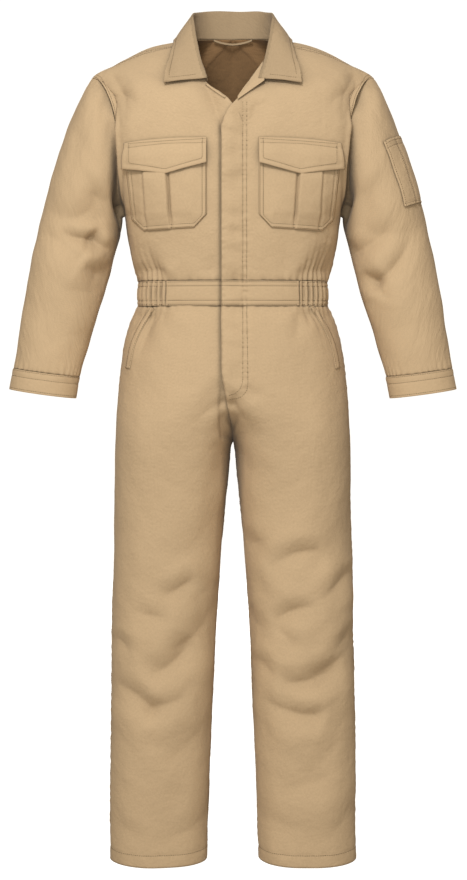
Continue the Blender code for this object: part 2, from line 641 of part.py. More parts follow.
def stand_clear(grid, panel, normals):
    """The grid, moved out wherever one of its faces would come too near to the panel's wall."""
    tree = panel_tree(panel, normals)
    out = grid.copy()
    least = WALL / 2 + TRIM_WALL / 2 + LEAST_GAP
    for _ in range(CLEARING_ROUNDS):
        push = np.zeros(out.shape[:2])
        away = np.zeros_like(out)
        for r in range(out.shape[0] - 1):
            for c in range(out.shape[1] - 1):
                quad = ((r, c), (r, c + 1), (r + 1, c + 1), (r + 1, c))
                for weights in CLEARING_SPOTS:
                    spot_on = sum(weight * out[place] for weight, place in zip(weights, quad))
                    hit, normal, _, _ = tree.find_nearest(Vector(spot_on))
                    above = float(np.dot(spot_on - np.array(hit), np.array(normal)))
                    for weight, place in zip(weights, quad):
                        if weight > 0 and least - above > push[place]:
                            push[place] = least - above
                            away[place] = np.array(normal)
        out += away * push[:, :, None]
    return out


def sheet_object(name, grid, outside, thickness=TRIM_WALL, colour=KHAKI, tube=False):
    """A wall from one grid of points whose outer side faces the given direction."""
    points = grid.reshape(-1, 3)
    faces = grid_faces(grid, tube)
    normals = smooth_normals(points, faces)
    if float(np.dot(normals.sum(axis=0), outside)) < 0:
        faces = [face[::-1] for face in faces]
        normals = -normals
    return wall(name, points, faces, normals, thickness, colour)


def pocket_places(columns, rows):
    """x and z of a chest pocket bag: straight sides, the outer one slanting, and cut corners."""
    places = []
    for down in rows:
        outer = POCKET_OUTER_X[0] + (POCKET_OUTER_X[1] - POCKET_OUTER_X[0]) * down
        line = []
        for x_share in columns:
            x = POCKET_INNER_X + (outer - POCKET_INNER_X) * x_share
            from_inner = x - POCKET_INNER_X
            from_outer = outer - x
            cut = max(POCKET_CHAMFER - from_inner, POCKET_CHAMFER - from_outer, 0.0)
            z = POCKET_TOP_Z + (POCKET_LOW_Z + cut - POCKET_TOP_Z) * down
            line.append((x, z + POCKET_SLOPE * from_inner))
        places.append(line)
    return places


def pocket_lifts(places):
    """The bag's rise over the panel, with the pleat standing on it."""
    lifts = []
    for line in places:
        row = []
        for x, _ in line:
            in_pleat = PLEAT_X[0] <= x <= PLEAT_X[1]
            row.append(POCKET_LIFT + (PLEAT_LIFT if in_pleat else 0.0))
        lifts.append(row)
    return lifts


def flap_places(columns, rows):
    """x and z of a pocket flap, whose lower edge comes to a point."""
    places = []
    for down in rows:
        line = []
        for x_share in columns:
            x = FLAP_X[0] + (FLAP_X[1] - FLAP_X[0]) * x_share
            span = FLAP_POINT_X - FLAP_X[0] if x < FLAP_POINT_X else FLAP_X[1] - FLAP_POINT_X
            low = FLAP_POINT_Z + (FLAP_SIDE_Z - FLAP_POINT_Z) * abs(x - FLAP_POINT_X) / span
            line.append((x, FLAP_TOP_Z + (low - FLAP_TOP_Z) * down + POCKET_SLOPE * (x - FLAP_X[0])))
        places.append(line)
    return places


def chest_pocket(side, panel, normals):
    hand = "left" if side > 0 else "right"
    panel = panel if side > 0 else mirrored(panel)
    normals = normals if side > 0 else mirrored(normals)
    places = pocket_places(POCKET_COLUMNS, POCKET_ROWS)
    bag = stand_clear(laid_on(panel, normals, places, pocket_lifts(places)), panel, normals)
    places = flap_places(FLAP_COLUMNS, FLAP_ROWS)
    fall = [min(down / FLAP_RISES, 1.0) for down in FLAP_ROWS]
    lifts = [[FLAP_LIFT[0] + (FLAP_LIFT[1] - FLAP_LIFT[0]) * part] * len(FLAP_COLUMNS) for part in fall]
    flap = stand_clear(laid_on(panel, normals, places, lifts), panel, normals)
    for name, grid in (("pocket_", bag), ("flap_", flap)):
        placed = grid if side > 0 else mirrored(grid)
        sheet_object(name + hand, placed, Vector((0, -1, 0)), colour=KHAKI_DARK)


def facings(front_left, normals_left, front_right, normals_right):
    """The turned-out ends of the facings: a triangle on the left, a narrow strip on the right."""
    apex, upper, outer = FACING_LEFT
    places = []
    for along in (0.16, 0.37, 0.58, 0.79, 1.0):
        top = [apex[n] + (upper[n] - apex[n]) * along for n in (0, 1)]
        low = [apex[n] + (outer[n] - apex[n]) * along for n in (0, 1)]
        places.append([tuple(top[n] + (low[n] - top[n]) * part for n in (0, 1)) for part in (0, 0.5, 1)])
    lifts = [[FACING_LIFT] * 3] * len(places)
    grid = laid_on(front_left, normals_left, places, lifts)
    sheet_object("facing_left", grid, Vector((0, -1, 0)))
    start, end = FACING_RIGHT
    run = np.array([end[0] - start[0], end[1] - start[1]])
    across = np.array([-run[1], run[0]]) / np.linalg.norm(run)
    across = across if across[0] > 0 else -across
    places = []
    for along in (0.0, 0.33, 0.67, 1.0):
        near = np.array(start) + run * along + across * 0.001
        far = near + across * 0.006 * (1.0 - 0.5 * along)
        places.append([tuple(near), tuple(far)])
    lifts = [[FACING_LIFT] * 2] * len(places)
    grid = laid_on(mirrored(front_right), mirrored(normals_right), places, lifts)
    sheet_object("facing_right", mirrored(grid), Vector((0, -1, 0)))


def pen_pocket(sleeve, normals):
    """A pocket round the outside of the left sleeve, its front part lapped over the back part."""
    shares = np.linspace(0.0, 1.0, 6)
    out = np.zeros((len(shares), len(PEN_TURNS), 3))
    closed = np.concatenate([sleeve, sleeve[:, :1], sleeve[:, 1:2]], axis=1)
    closed_normals = np.concatenate([normals, normals[:, :1], normals[:, 1:2]], axis=1)
    for c, turn in enumerate(PEN_TURNS):
        forward = max(1 - cos(turn / 180 * pi), 0.0) / (1 - cos(PEN_TURNS[-1] / 180 * pi))
        mouth, bottom = (PEN_BACK[n] - PEN_RISE[n] * forward for n in (0, 1))
        column = (turn % 360.0) / 360.0 * RING
        lift = PEN_LIFT + (PEN_LAP if turn > PEN_DIVIDE else 0.0)
        for r, share in enumerate(shares):
            section = mouth + (bottom - mouth) * share
            place = float(np.interp(section, SLEEVE_ROWS, range(len(SLEEVE_ROWS))))
            normal = read_grid(closed_normals, place, column)
            out[r, c] = read_grid(closed, place, column) + normal / np.linalg.norm(normal) * lift
    out = stand_clear(out, closed, closed_normals)
    sheet_object("pen_pocket", out, Vector((1, -0.5, 0)), colour=KHAKI_DARK)


def side_pocket(side, panel, normals):
    hand = "left" if side > 0 else "right"
    panel = panel if side > 0 else mirrored(panel)
    normals = normals if side > 0 else mirrored(normals)
    places = []
    for step in range(7):
        at = step / 6 * (len(SIDE_POCKET) - 1)
        table = [(n,) + point for n, point in enumerate(SIDE_POCKET)]
        here = smooth(table, at)
        run = smooth(table, min(at + 0.1, 3.0)) - smooth(table, max(at - 0.1, 0.0))
        across = np.array([run[1], -run[0]]) / np.linalg.norm(run)
        places.append([tuple(here), tuple(here + across * SIDE_POCKET_WIDTH)])
    grid = laid_on(panel, normals, places, [[SIDE_POCKET_LIFT] * 2] * len(places))
    grid = stand_clear(grid, panel, normals)
    sheet_object("side_pocket_" + hand, grid if side > 0 else mirrored(grid), Vector((0, -1, 0)))


def collar(shell):
    """One folded sheet: up from the neck seam, over the roll line, and down over the bodice."""
    points = []
    faces = []
    for name in ("front_left", "front_right", "back_half_left", "back_half_right"):
        flat = shell[name].reshape(-1, 3)
        found = facing_out(flat, grid_faces(shell[name], False), name)
        faces += [tuple(len(points) + corner for corner in face) for face in found]
        points += [Vector(p) for p in flat]
    bodice = BVHTree.FromPolygons(points, faces)
    half = []
    for station in COLLAR_STATIONS:
        row = smooth(COLLAR, station)
        seam, roll, edge = row[0:3], row[3:6], row[6:9]
        up = roll - seam
        tall = float(np.linalg.norm(up))
        up = up / tall
        out = edge - roll
        stand = [seam + up * STAND_START, seam + up * tall * STAND_MIDDLE]
        crown = roll + up * COLLAR_ROLL
        leaf = []
        for share in LEAF_SHARES:
            place = roll + out * share
            hit, normal, _, _ = bodice.find_nearest(Vector(place))
            above = float(np.dot(place - np.array(hit), np.array(normal)))
            if above < COLLAR_LIFT:
                place = place + np.array(normal) * (COLLAR_LIFT - above)
            leaf.append(place)
        half.append(stand + [crown] + leaf)
    half = np.array(half)
    whole = np.concatenate([mirrored(half)[::-1], half[1:]], axis=0)
    points = whole.reshape(-1, 3)
    sheet = grid_faces(whole, False)
    normals = smooth_normals(points, sheet)
    middle = len(whole) // 2 * whole.shape[1]
    if normals[middle + whole.shape[1] - 1][1] < 0:
        sheet = [face[::-1] for face in sheet]
        normals = -normals
    wall("collar", points, sheet, normals, TRIM_WALL)


def hanger_loop():
    """A narrow strip that hangs in a shallow bow inside the back neck."""
    columns = np.linspace(-1.0, 1.0, 13)
    grid = np.zeros((2, len(columns), 3))
    for c, across in enumerate(columns):
        x = across * LOOP_HALF
        y = float(smooth([(row[1], row[2]) for row in COLLAR[:3]], abs(x))[0]) - LOOP_IN
        top = COLLAR[0][3] - LOOP_SAG * (1 - across ** 2)
        grid[0, c] = (x, y, top)
        grid[1, c] = (x, y - LOOP_LEAN, top - LOOP_HEIGHT)
    sheet_object("hanger_loop", grid, Vector((0, -1, 0)))


# ---------------------------------------------------------------------------------- assembly
def build():
    shell = folded({**half_panels(1), **half_panels(-1)})
    normals = shell_normals(shell)
    grid_normals = {name: np.array([[normals[spot(point)] for point in row] for row in grid])
                    for name, grid in shell.items()}
    joined = {"back": ("back_half_left", "back_half_right"),
              "waistband_back": ("waistband_back_half_left", "waistband_back_half_right")}
    halves = [name for pair in joined.values() for name in pair]
    for name in shell:
        if name not in halves:
            joined[name] = (name,)
    for name, parts in joined.items():
        index = {}
        points = []
        faces = []
        for part in parts:
            flat = shell[part].reshape(-1, 3)
            local = []
            for point in flat:
                if spot(point) not in index:
                    index[spot(point)] = len(points)
                    points.append(point)
                local.append(index[spot(point)])
            found = facing_out(flat, grid_faces(shell[part], is_tube(part)), part)
            faces += [tuple(local[corner] for corner in face) for face in found]
        shared = np.array([normals[spot(point)] for point in points])
        wall(name, np.array(points), faces, shared)
    chest_pocket(1, shell["front_left"], grid_normals["front_left"])
    chest_pocket(-1, shell["front_right"], grid_normals["front_right"])
    facings(shell["front_left"], grid_normals["front_left"],
            shell["front_right"], grid_normals["front_right"])
    pen_pocket(shell["sleeve_left"], grid_normals["sleeve_left"])
    side_pocket(1, shell["leg_front_left"], grid_normals["leg_front_left"])
    side_pocket(-1, shell["leg_front_right"], grid_normals["leg_front_right"])
    collar(shell)
    hanger_loop()


for old in list(bpy.data.objects):
    bpy.data.objects.remove(old, do_unlink=True)
build()
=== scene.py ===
"""Boiler suit: the looks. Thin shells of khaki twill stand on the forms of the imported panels.

Frame and sizes are the part's own: metres, +X the wearer's left, the front faces -Y, +Z up.
"""

import bpy
import numpy as np
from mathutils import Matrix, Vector
from mathutils.bvhtree import BVHTree


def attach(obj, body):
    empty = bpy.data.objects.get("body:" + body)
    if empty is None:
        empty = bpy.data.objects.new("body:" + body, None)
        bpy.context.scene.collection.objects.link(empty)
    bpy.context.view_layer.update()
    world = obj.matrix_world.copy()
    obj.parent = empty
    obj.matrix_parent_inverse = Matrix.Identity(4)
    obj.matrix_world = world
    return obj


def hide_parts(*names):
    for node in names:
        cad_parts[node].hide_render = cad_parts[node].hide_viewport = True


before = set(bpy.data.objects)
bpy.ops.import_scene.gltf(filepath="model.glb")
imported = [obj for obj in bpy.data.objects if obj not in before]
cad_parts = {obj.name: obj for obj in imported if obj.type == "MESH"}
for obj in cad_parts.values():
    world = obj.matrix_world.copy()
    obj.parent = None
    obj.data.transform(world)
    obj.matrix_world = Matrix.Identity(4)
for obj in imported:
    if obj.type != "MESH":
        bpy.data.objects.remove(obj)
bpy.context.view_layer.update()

# ---------------------------------------------------------------------------------- driving sizes
HANDS = ((1, "left"), (-1, "right"))     # the wearer's left is at +X
OUTWARD = {"front": (0, -1, 0), "back": (0, 1, 0)}
CLOTH = 0.0011           # thickness of a shell
TRIM_CLOTH = 0.0009      # thickness of pockets, flaps and facings
COLLAR_WALL = 0.0016     # thickness of the collar's two layers
FINE = 0.0026            # mesh step of the bodice and the seat
MEDIUM = 0.0036          # mesh step of the legs
SLEEVE_STEP = 0.0032     # mesh step of the sleeves
SMALL = 0.0016           # mesh step of the waistband and the cuffs
WELD = 0.0008            # points of two halves nearer than this are one
LEAST_CUT = 0.0100       # the smallest side that a cut's size is reckoned at
THREE_CORNERED = 0.34    # a cut that fills less of its box than this is a triangle, lying slantwise in it

# levels of the body, and places on its form
WAIST_TOP_Z = -0.4270
WAIST_LOW_Z = -0.4703
BAND_HEIGHT = WAIST_TOP_Z - WAIST_LOW_Z
ELASTIC_SHARE = 0.5054   # share of a half waistband's width where its elastic starts
CROTCH_Z = -0.7050
SEAT_LOW_Z = -0.72       # the seat's finer mesh ends here
LEG_COUNT = 66           # points across a trouser panel
SLEEVE_COUNT = 136       # points round a sleeve
HEM_Z = -1.4600
UNDERARM_ROW = 3.0       # rows of the bodice run from 0 at the waist: the armhole's foot
TOP_ROW = 11.0           # and the shoulder seam
SIDE_Y = 0.005           # the side seams lie this far behind the middle
SHOULDER = (0.2535, -0.0594)             # x and z of the armhole's top
UNDERARM = (0.1935, -0.3096)             # and of its foot
ARMHOLE_DEPTH = 0.078    # half of the armhole's width from front to back
ARMHOLE_BOW = (0.023, 0.013)             # it curves in by these between its top and its foot
CUFF_FROM = 9.0          # the sleeve section where the cuff starts
BACK_NECK_Z = 0.0200

# the fly
LAP = 0.0195             # the left front's edge lies this far past the middle
UNDERLAP = 0.0180        # and the right front's, beneath it
LAP_ENDS_Z = (-0.700, -0.575)            # the fly's edge drifts to the crotch seam between these
LAP_ENDS_ROW = (6.3, 7.3)                # and to the neck's foot between these rows
FLY_RAISE = 0.0044       # the fly stands this much proud
FLY_STITCH_X = (0.0172, 0.0240)          # the two rows of stitches along the fly
FLY_PUCKER = 0.0011      # height of the puckers across the fly
LINE_PUCKER = 0.0007     # and of the small ones along its stitches
LINE_GROOVE = 0.0015     # a row of stitches draws the fly in by this much
UNDER_FLY = 0.0036       # the right front gives way by this much beside the fly's edge
FLY_CURVES = (           # x and z along the two rows of stitches as they turn to the fly's foot
    ((FLY_STITCH_X[0], -0.5960), (0.0160, -0.6060), (0.0110, -0.6160), (0.0030, -0.6225),
     (-0.0080, -0.6258)),
    ((0.0262, -0.6030), (0.0241, -0.6160), (0.0180, -0.6255), (0.0090, -0.6305), (-0.0070, -0.6325)),
)

# seams
SEAM_DIP = 0.0009        # a seam lies this far under the cloth beside it
SEAM_REACH = 0.0045      # and the cloth rises from it over this distance
SEAM_GROOVE = 1.6        # the shoulder seam lies this many times deeper than the others
SEAM_PUCKER = 0.0006     # height of the puckers along a seam
SEAM_PUCKER_REACH = 0.011                # and how far from it they fade
SHOULDER_LIFT = 0.0075   # the back stands this much higher behind the shoulder seam
SHOULDER_LIFT_ROWS = (10.1, 0.55)        # the row where it is highest, and the rows it fades over
ARMHOLE_LIP = 0.0050     # the front stands this much proud beside the lower armhole
ARMHOLE_LIP_AT = (0.010, 0.006)          # how far from the seam, and how wide
ARMPIT_CREASE = 0.0260   # the sleeve dives this deep beside the body, low on the armhole
CROTCH_TURN = 0.0120     # the cloth turns in this deep beside the inseam at the top of the legs
CROTCH_OVERLAP = 0.0016  # the two sides pass each other by this much at the top of the inseams

# the waistband
BAND_RAISE = 0.0012      # its flat parts stand this much proud
BAND_LINE = 0.0016       # width of the groove of a row of stitches
BAND_PULL_X = 0.115      # the flat parts are drawn by the elastic here
BAND_END = 0.003 / 0.21  # width of the seam at the elastic's ends, as a share of its length
BAND_FLAT_COUNT = 60     # points along a flat part
BAND_ELASTIC_COUNT = 64  # points along the elastic on the front, and the same on the back

# stitches
STITCH = 0.0030          # length of a stitch
STITCH_GAP = 0.0010
THREAD_HALF = 0.00070    # half the width of a stitch
THREAD_SINK = 0.0003     # its ends lie this deep in the cloth
THREAD_RISE = 0.00045    # and its middle stands this high over it
THREAD_FLAT = 0.3        # half of the raised part, as a share of the stitch
HEM_STITCH = 0.0215      # height of the hem's stitches over its edge
BAND_STITCHES = (0.05, 0.21, 0.79, 0.95)                # heights of the waistband's rows, as shares
CUFF_STITCHES = (0.0022, 0.0126)         # distances of the cuff's rows from its top
INSEAM_STITCHES = (0.004, 0.0105)        # distances of the rows from the seam
SEAT_STITCHES = (0.003, 0.009)
ARMHOLE_STITCHES = (0.0030, 0.0095)
SIDE_STITCH = 0.004
SHOULDER_STITCH = {"front": 0.0015, "back": 0.0075}

# the elastic's grooves: place along it from its front end to the side seam, depth, reach beyond the band
GROOVES = {
    ("left", "front"): ((0.00, 0.6, 0.006), (0.09, 1.0, 0.014), (0.20, 1.2, 0.018), (0.31, 1.1, 0.012),
                        (0.43, 1.0, 0.020), (0.57, 0.5, 0.010), (0.74, 0.6, 0.014), (0.90, 0.5, 0.010)),
    ("right", "front"): ((0.00, 0.7, 0.006), (0.11, 1.1, 0.012), (0.21, 1.0, 0.020), (0.33, 1.2, 0.014),
                         (0.46, 0.8, 0.018), (0.62, 0.4, 0.010), (0.80, 0.6, 0.012)),
    ("left", "back"): ((0.00, 0.7, 0.006), (0.10, 1.0, 0.014), (0.22, 1.1, 0.018), (0.33, 0.9, 0.012),
                       (0.45, 1.1, 0.018), (0.58, 0.9, 0.012), (0.71, 1.0, 0.016), (0.86, 0.8, 0.012)),
    ("right", "back"): ((0.00, 0.7, 0.006), (0.09, 1.1, 0.016), (0.20, 0.9, 0.012), (0.32, 1.1, 0.018),
                        (0.44, 0.9, 0.014), (0.55, 1.1, 0.018), (0.69, 0.8, 0.012), (0.84, 1.0, 0.014)),
}
GROOVE_WIDTH = 0.033     # in shares of the elastic
GATHER = 0.0054          # depth of a groove
BESIDE_GROOVES = 0.30    # the cloth between the grooves swells by this share of it beside the band
BAND_GATHER = 0.62       # and the band's own grooves are this share as deep
GATHER_FADE = 0.010      # distance beyond the band over which both change

FRONT_EDGE = (
    # row    x       y        z
    (0.0, 0.0, -0.112, WAIST_TOP_Z),
    (1.0, 0.0, -0.117, -0.395),
    (2.0, 0.0, -0.122, -0.355),
    (3.0, 0.0, -0.126, -0.315),
    (4.0, 0.0, -0.129, -0.275),
    (5.0, 0.0, -0.130, -0.232),
    (6.0, 0.0, -0.128, -0.186),
    (7.0, 0.0, -0.121, -0.1270),
    (8.0, 0.0205, -0.112, -0.1015),
    (9.0, 0.0452, -0.095, -0.0795),
    (10.0, 0.0640, -0.054, -0.036),
    (11.0, 0.0710, -0.012, 0.000),
)
BACK_EDGE = (
    (0.0, 0.0, 0.100, WAIST_TOP_Z),
    (1.0, 0.0, 0.106, -0.395),
    (2.0, 0.0, 0.113, -0.355),
    (3.0, 0.0, 0.119, -0.315),
    (4.0, 0.0, 0.124, -0.250),
    (5.0, 0.0, 0.124, -0.165),
    (6.0, 0.0, 0.110, -0.070),
    (7.0, 0.0, 0.066, 0.020),
    (8.0, 0.034, 0.060, 0.0195),
    (9.0, 0.058, 0.040, 0.016),
    (10.0, 0.071, 0.012, 0.009),
    (11.0, 0.0710, -0.012, 0.000),
)
SIDE_SEAM = (
    # row    x       z
    (0.0, 0.1690, WAIST_TOP_Z),
    (1.0, 0.1790, -0.395),
    (2.0, 0.1870, -0.355),
    (3.0, UNDERARM[0], UNDERARM[1]),
)
FRONT_FORM = (
    # row  squareness  drop   bow_y    bow_z
    (0.0, 2.5, 0.5, 0.000, 0.000),
    (4.0, 2.7, 0.5, 0.000, 0.000),
    (7.0, 2.4, 0.6, 0.000, 0.000),
    (9.0, 1.9, 1.0, -0.004, 0.005),
    (11.0, 1.2, 1.0, -0.018, 0.009),
)
BACK_FORM = (
    (0.0, 2.5, 0.5, 0.000, 0.000),
    (4.0, 2.5, 0.5, 0.000, 0.000),
    (7.0, 2.2, 1.0, 0.016, 0.000),
    (9.0, 1.6, 1.0, 0.018, 0.014),
    (10.0, 1.3, 1.0, 0.006, 0.017),
    (11.0, 1.2, 1.0, -0.018, 0.009),
)
HIPS = (
    # z         width   front   back   parting
    (WAIST_LOW_Z, 0.1700, 0.112, 0.100, 0.00),
    (-0.500, 0.1840, 0.119, 0.108, 0.00),
    (-0.531, 0.1925, 0.124, 0.117, 0.01),
    (-0.565, 0.1985, 0.127, 0.126, 0.05),
    (-0.600, 0.2030, 0.127, 0.132, 0.12),
    (-0.650, 0.2072, 0.124, 0.134, 0.33),
    (-0.680, 0.2090, 0.121, 0.132, 0.45),
    (-0.698, 0.2098, 0.119, 0.130, 0.492),
    (CROTCH_Z, 0.2100, 0.118, 0.129, 0.50),
)
LEG = (
    # z        inner   outer   front   back
    (CROTCH_Z, 0.0000, 0.2100, 0.118, 0.129),
    (-0.722, 0.0036, 0.2104, 0.114, 0.125),
    (-0.783, 0.0090, 0.2112, 0.104, 0.114),
    (-0.855, 0.0165, 0.2125, 0.098, 0.104),
    (-0.999, 0.0280, 0.2160, 0.089, 0.092),
    (-1.143, 0.0351, 0.2187, 0.080, 0.084),
    (-1.287, 0.0414, 0.2205, 0.072, 0.076),
    (HEM_Z, 0.0470, 0.2212, 0.065, 0.068),
)
LEG_SQUARENESS = 2.25    # 2 is an ellipse, more is squarer
TROUSER_FORM_Z = -0.53   # the trousers reach their own form here, below the waistband's
SLEEVE = (
    # length outer_x  outer_z   inner_x  inner_z   mid_y  depth   bow
    (0.0, SHOULDER[0], SHOULDER[1], UNDERARM[0], UNDERARM[1], SIDE_Y, ARMHOLE_DEPTH, 1.0),
    (1.0, 0.2690, -0.0860, 0.1980, -0.3112, 0.005, 0.083, 0.22),
    (2.0, 0.2950, -0.1480, 0.1988, -0.3180, 0.004, 0.084, 0.05),
    (3.0, 0.3170, -0.2110, 0.2000, -0.3290, 0.003, 0.081, 0.0),
    (4.0, 0.3345, -0.2740, 0.2030, -0.3420, 0.002, 0.078, 0.0),
    (5.0, 0.3465, -0.3230, 0.2085, -0.3620, 0.000, 0.075, 0.0),
    (6.0, 0.3600, -0.3840, 0.2195, -0.4020, -0.004, 0.070, 0.0),
    (7.0, 0.3705, -0.4460, 0.2345, -0.4590, -0.011, 0.063, 0.0),
    (8.0, 0.3815, -0.5200, 0.2555, -0.5300, -0.021, 0.054, 0.0),
    (9.0, 0.3895, -0.5810, 0.2735, -0.5960, -0.030, 0.045, 0.0),
    (10.0, 0.3960, -0.6180, 0.2805, -0.6340, -0.035, 0.042, 0.0),
)
COLLAR = (
    # station  seam x, y, z           roll x, y, z            edge x, y, z
    (0.0, 0.000, 0.066, 0.0200, 0.0000, 0.0780, 0.0770, 0.0000, 0.1040, 0.0150),
    (1.0, 0.034, 0.060, 0.0195, 0.0440, 0.0680, 0.0755, 0.0600, 0.0960, 0.0120),
    (2.0, 0.058, 0.040, 0.0160, 0.0640, 0.0420, 0.0680, 0.1000, 0.0580, 0.0080),
    (3.0, 0.071, 0.012, 0.0090, 0.0710, 0.0080, 0.0590, 0.1060, 0.0100, 0.0085),
    (4.0, 0.071, -0.012, 0.0000, 0.0690, -0.0220, 0.0370, 0.1070, -0.0300, -0.0060),
    (5.0, 0.064, -0.054, -0.0360, 0.0580, -0.0640, -0.0230, 0.1140, -0.0780, -0.0450),
    (6.0, 0.0452, -0.095, -0.0795, 0.0450, -0.1010, -0.0750, 0.1200, -0.1040, -0.0830),
)
COLLAR_LIFT = 0.0045
COLLAR_CURL = 0.0120     # the collar's ends stand this much further off the front

FOLD_GAIN = 2.35         # all folds are this much deeper than the table says
FOLD_RIDGE = 0.16        # height of the ridges beside a fold, as a share of its depth
UPPER_WALL = 1.60        # widths of a fold's upper and lower walls as shares of its half-width
LOWER_WALL = 2.20
FOLD_FOOT = 0.16         # rounding of its foot as a share of its half-width
FOLD_ENDS = 0.35         # share of a fold's depth that is left where it runs out
FOLD_REACH = 6           # a fold is felt within this many half-widths
RIDGE_AT = (2.1, 0.9)    # place and width of the ridges, in half-widths
FACING = 0.35            # a fold is at its full depth where the cloth faces its side by this much
HELD = (0.15, 0.020)     # share of a fold that a seam lets through, and the distance over which it grows
SWELL = 0.0011           # height of the small unevenness that fills the cloth between its folds
WAVES = 7                # waves in an unevenness
WAVE_SPREAD = (0.7, 1.5)                 # their lengths, in shares of its size

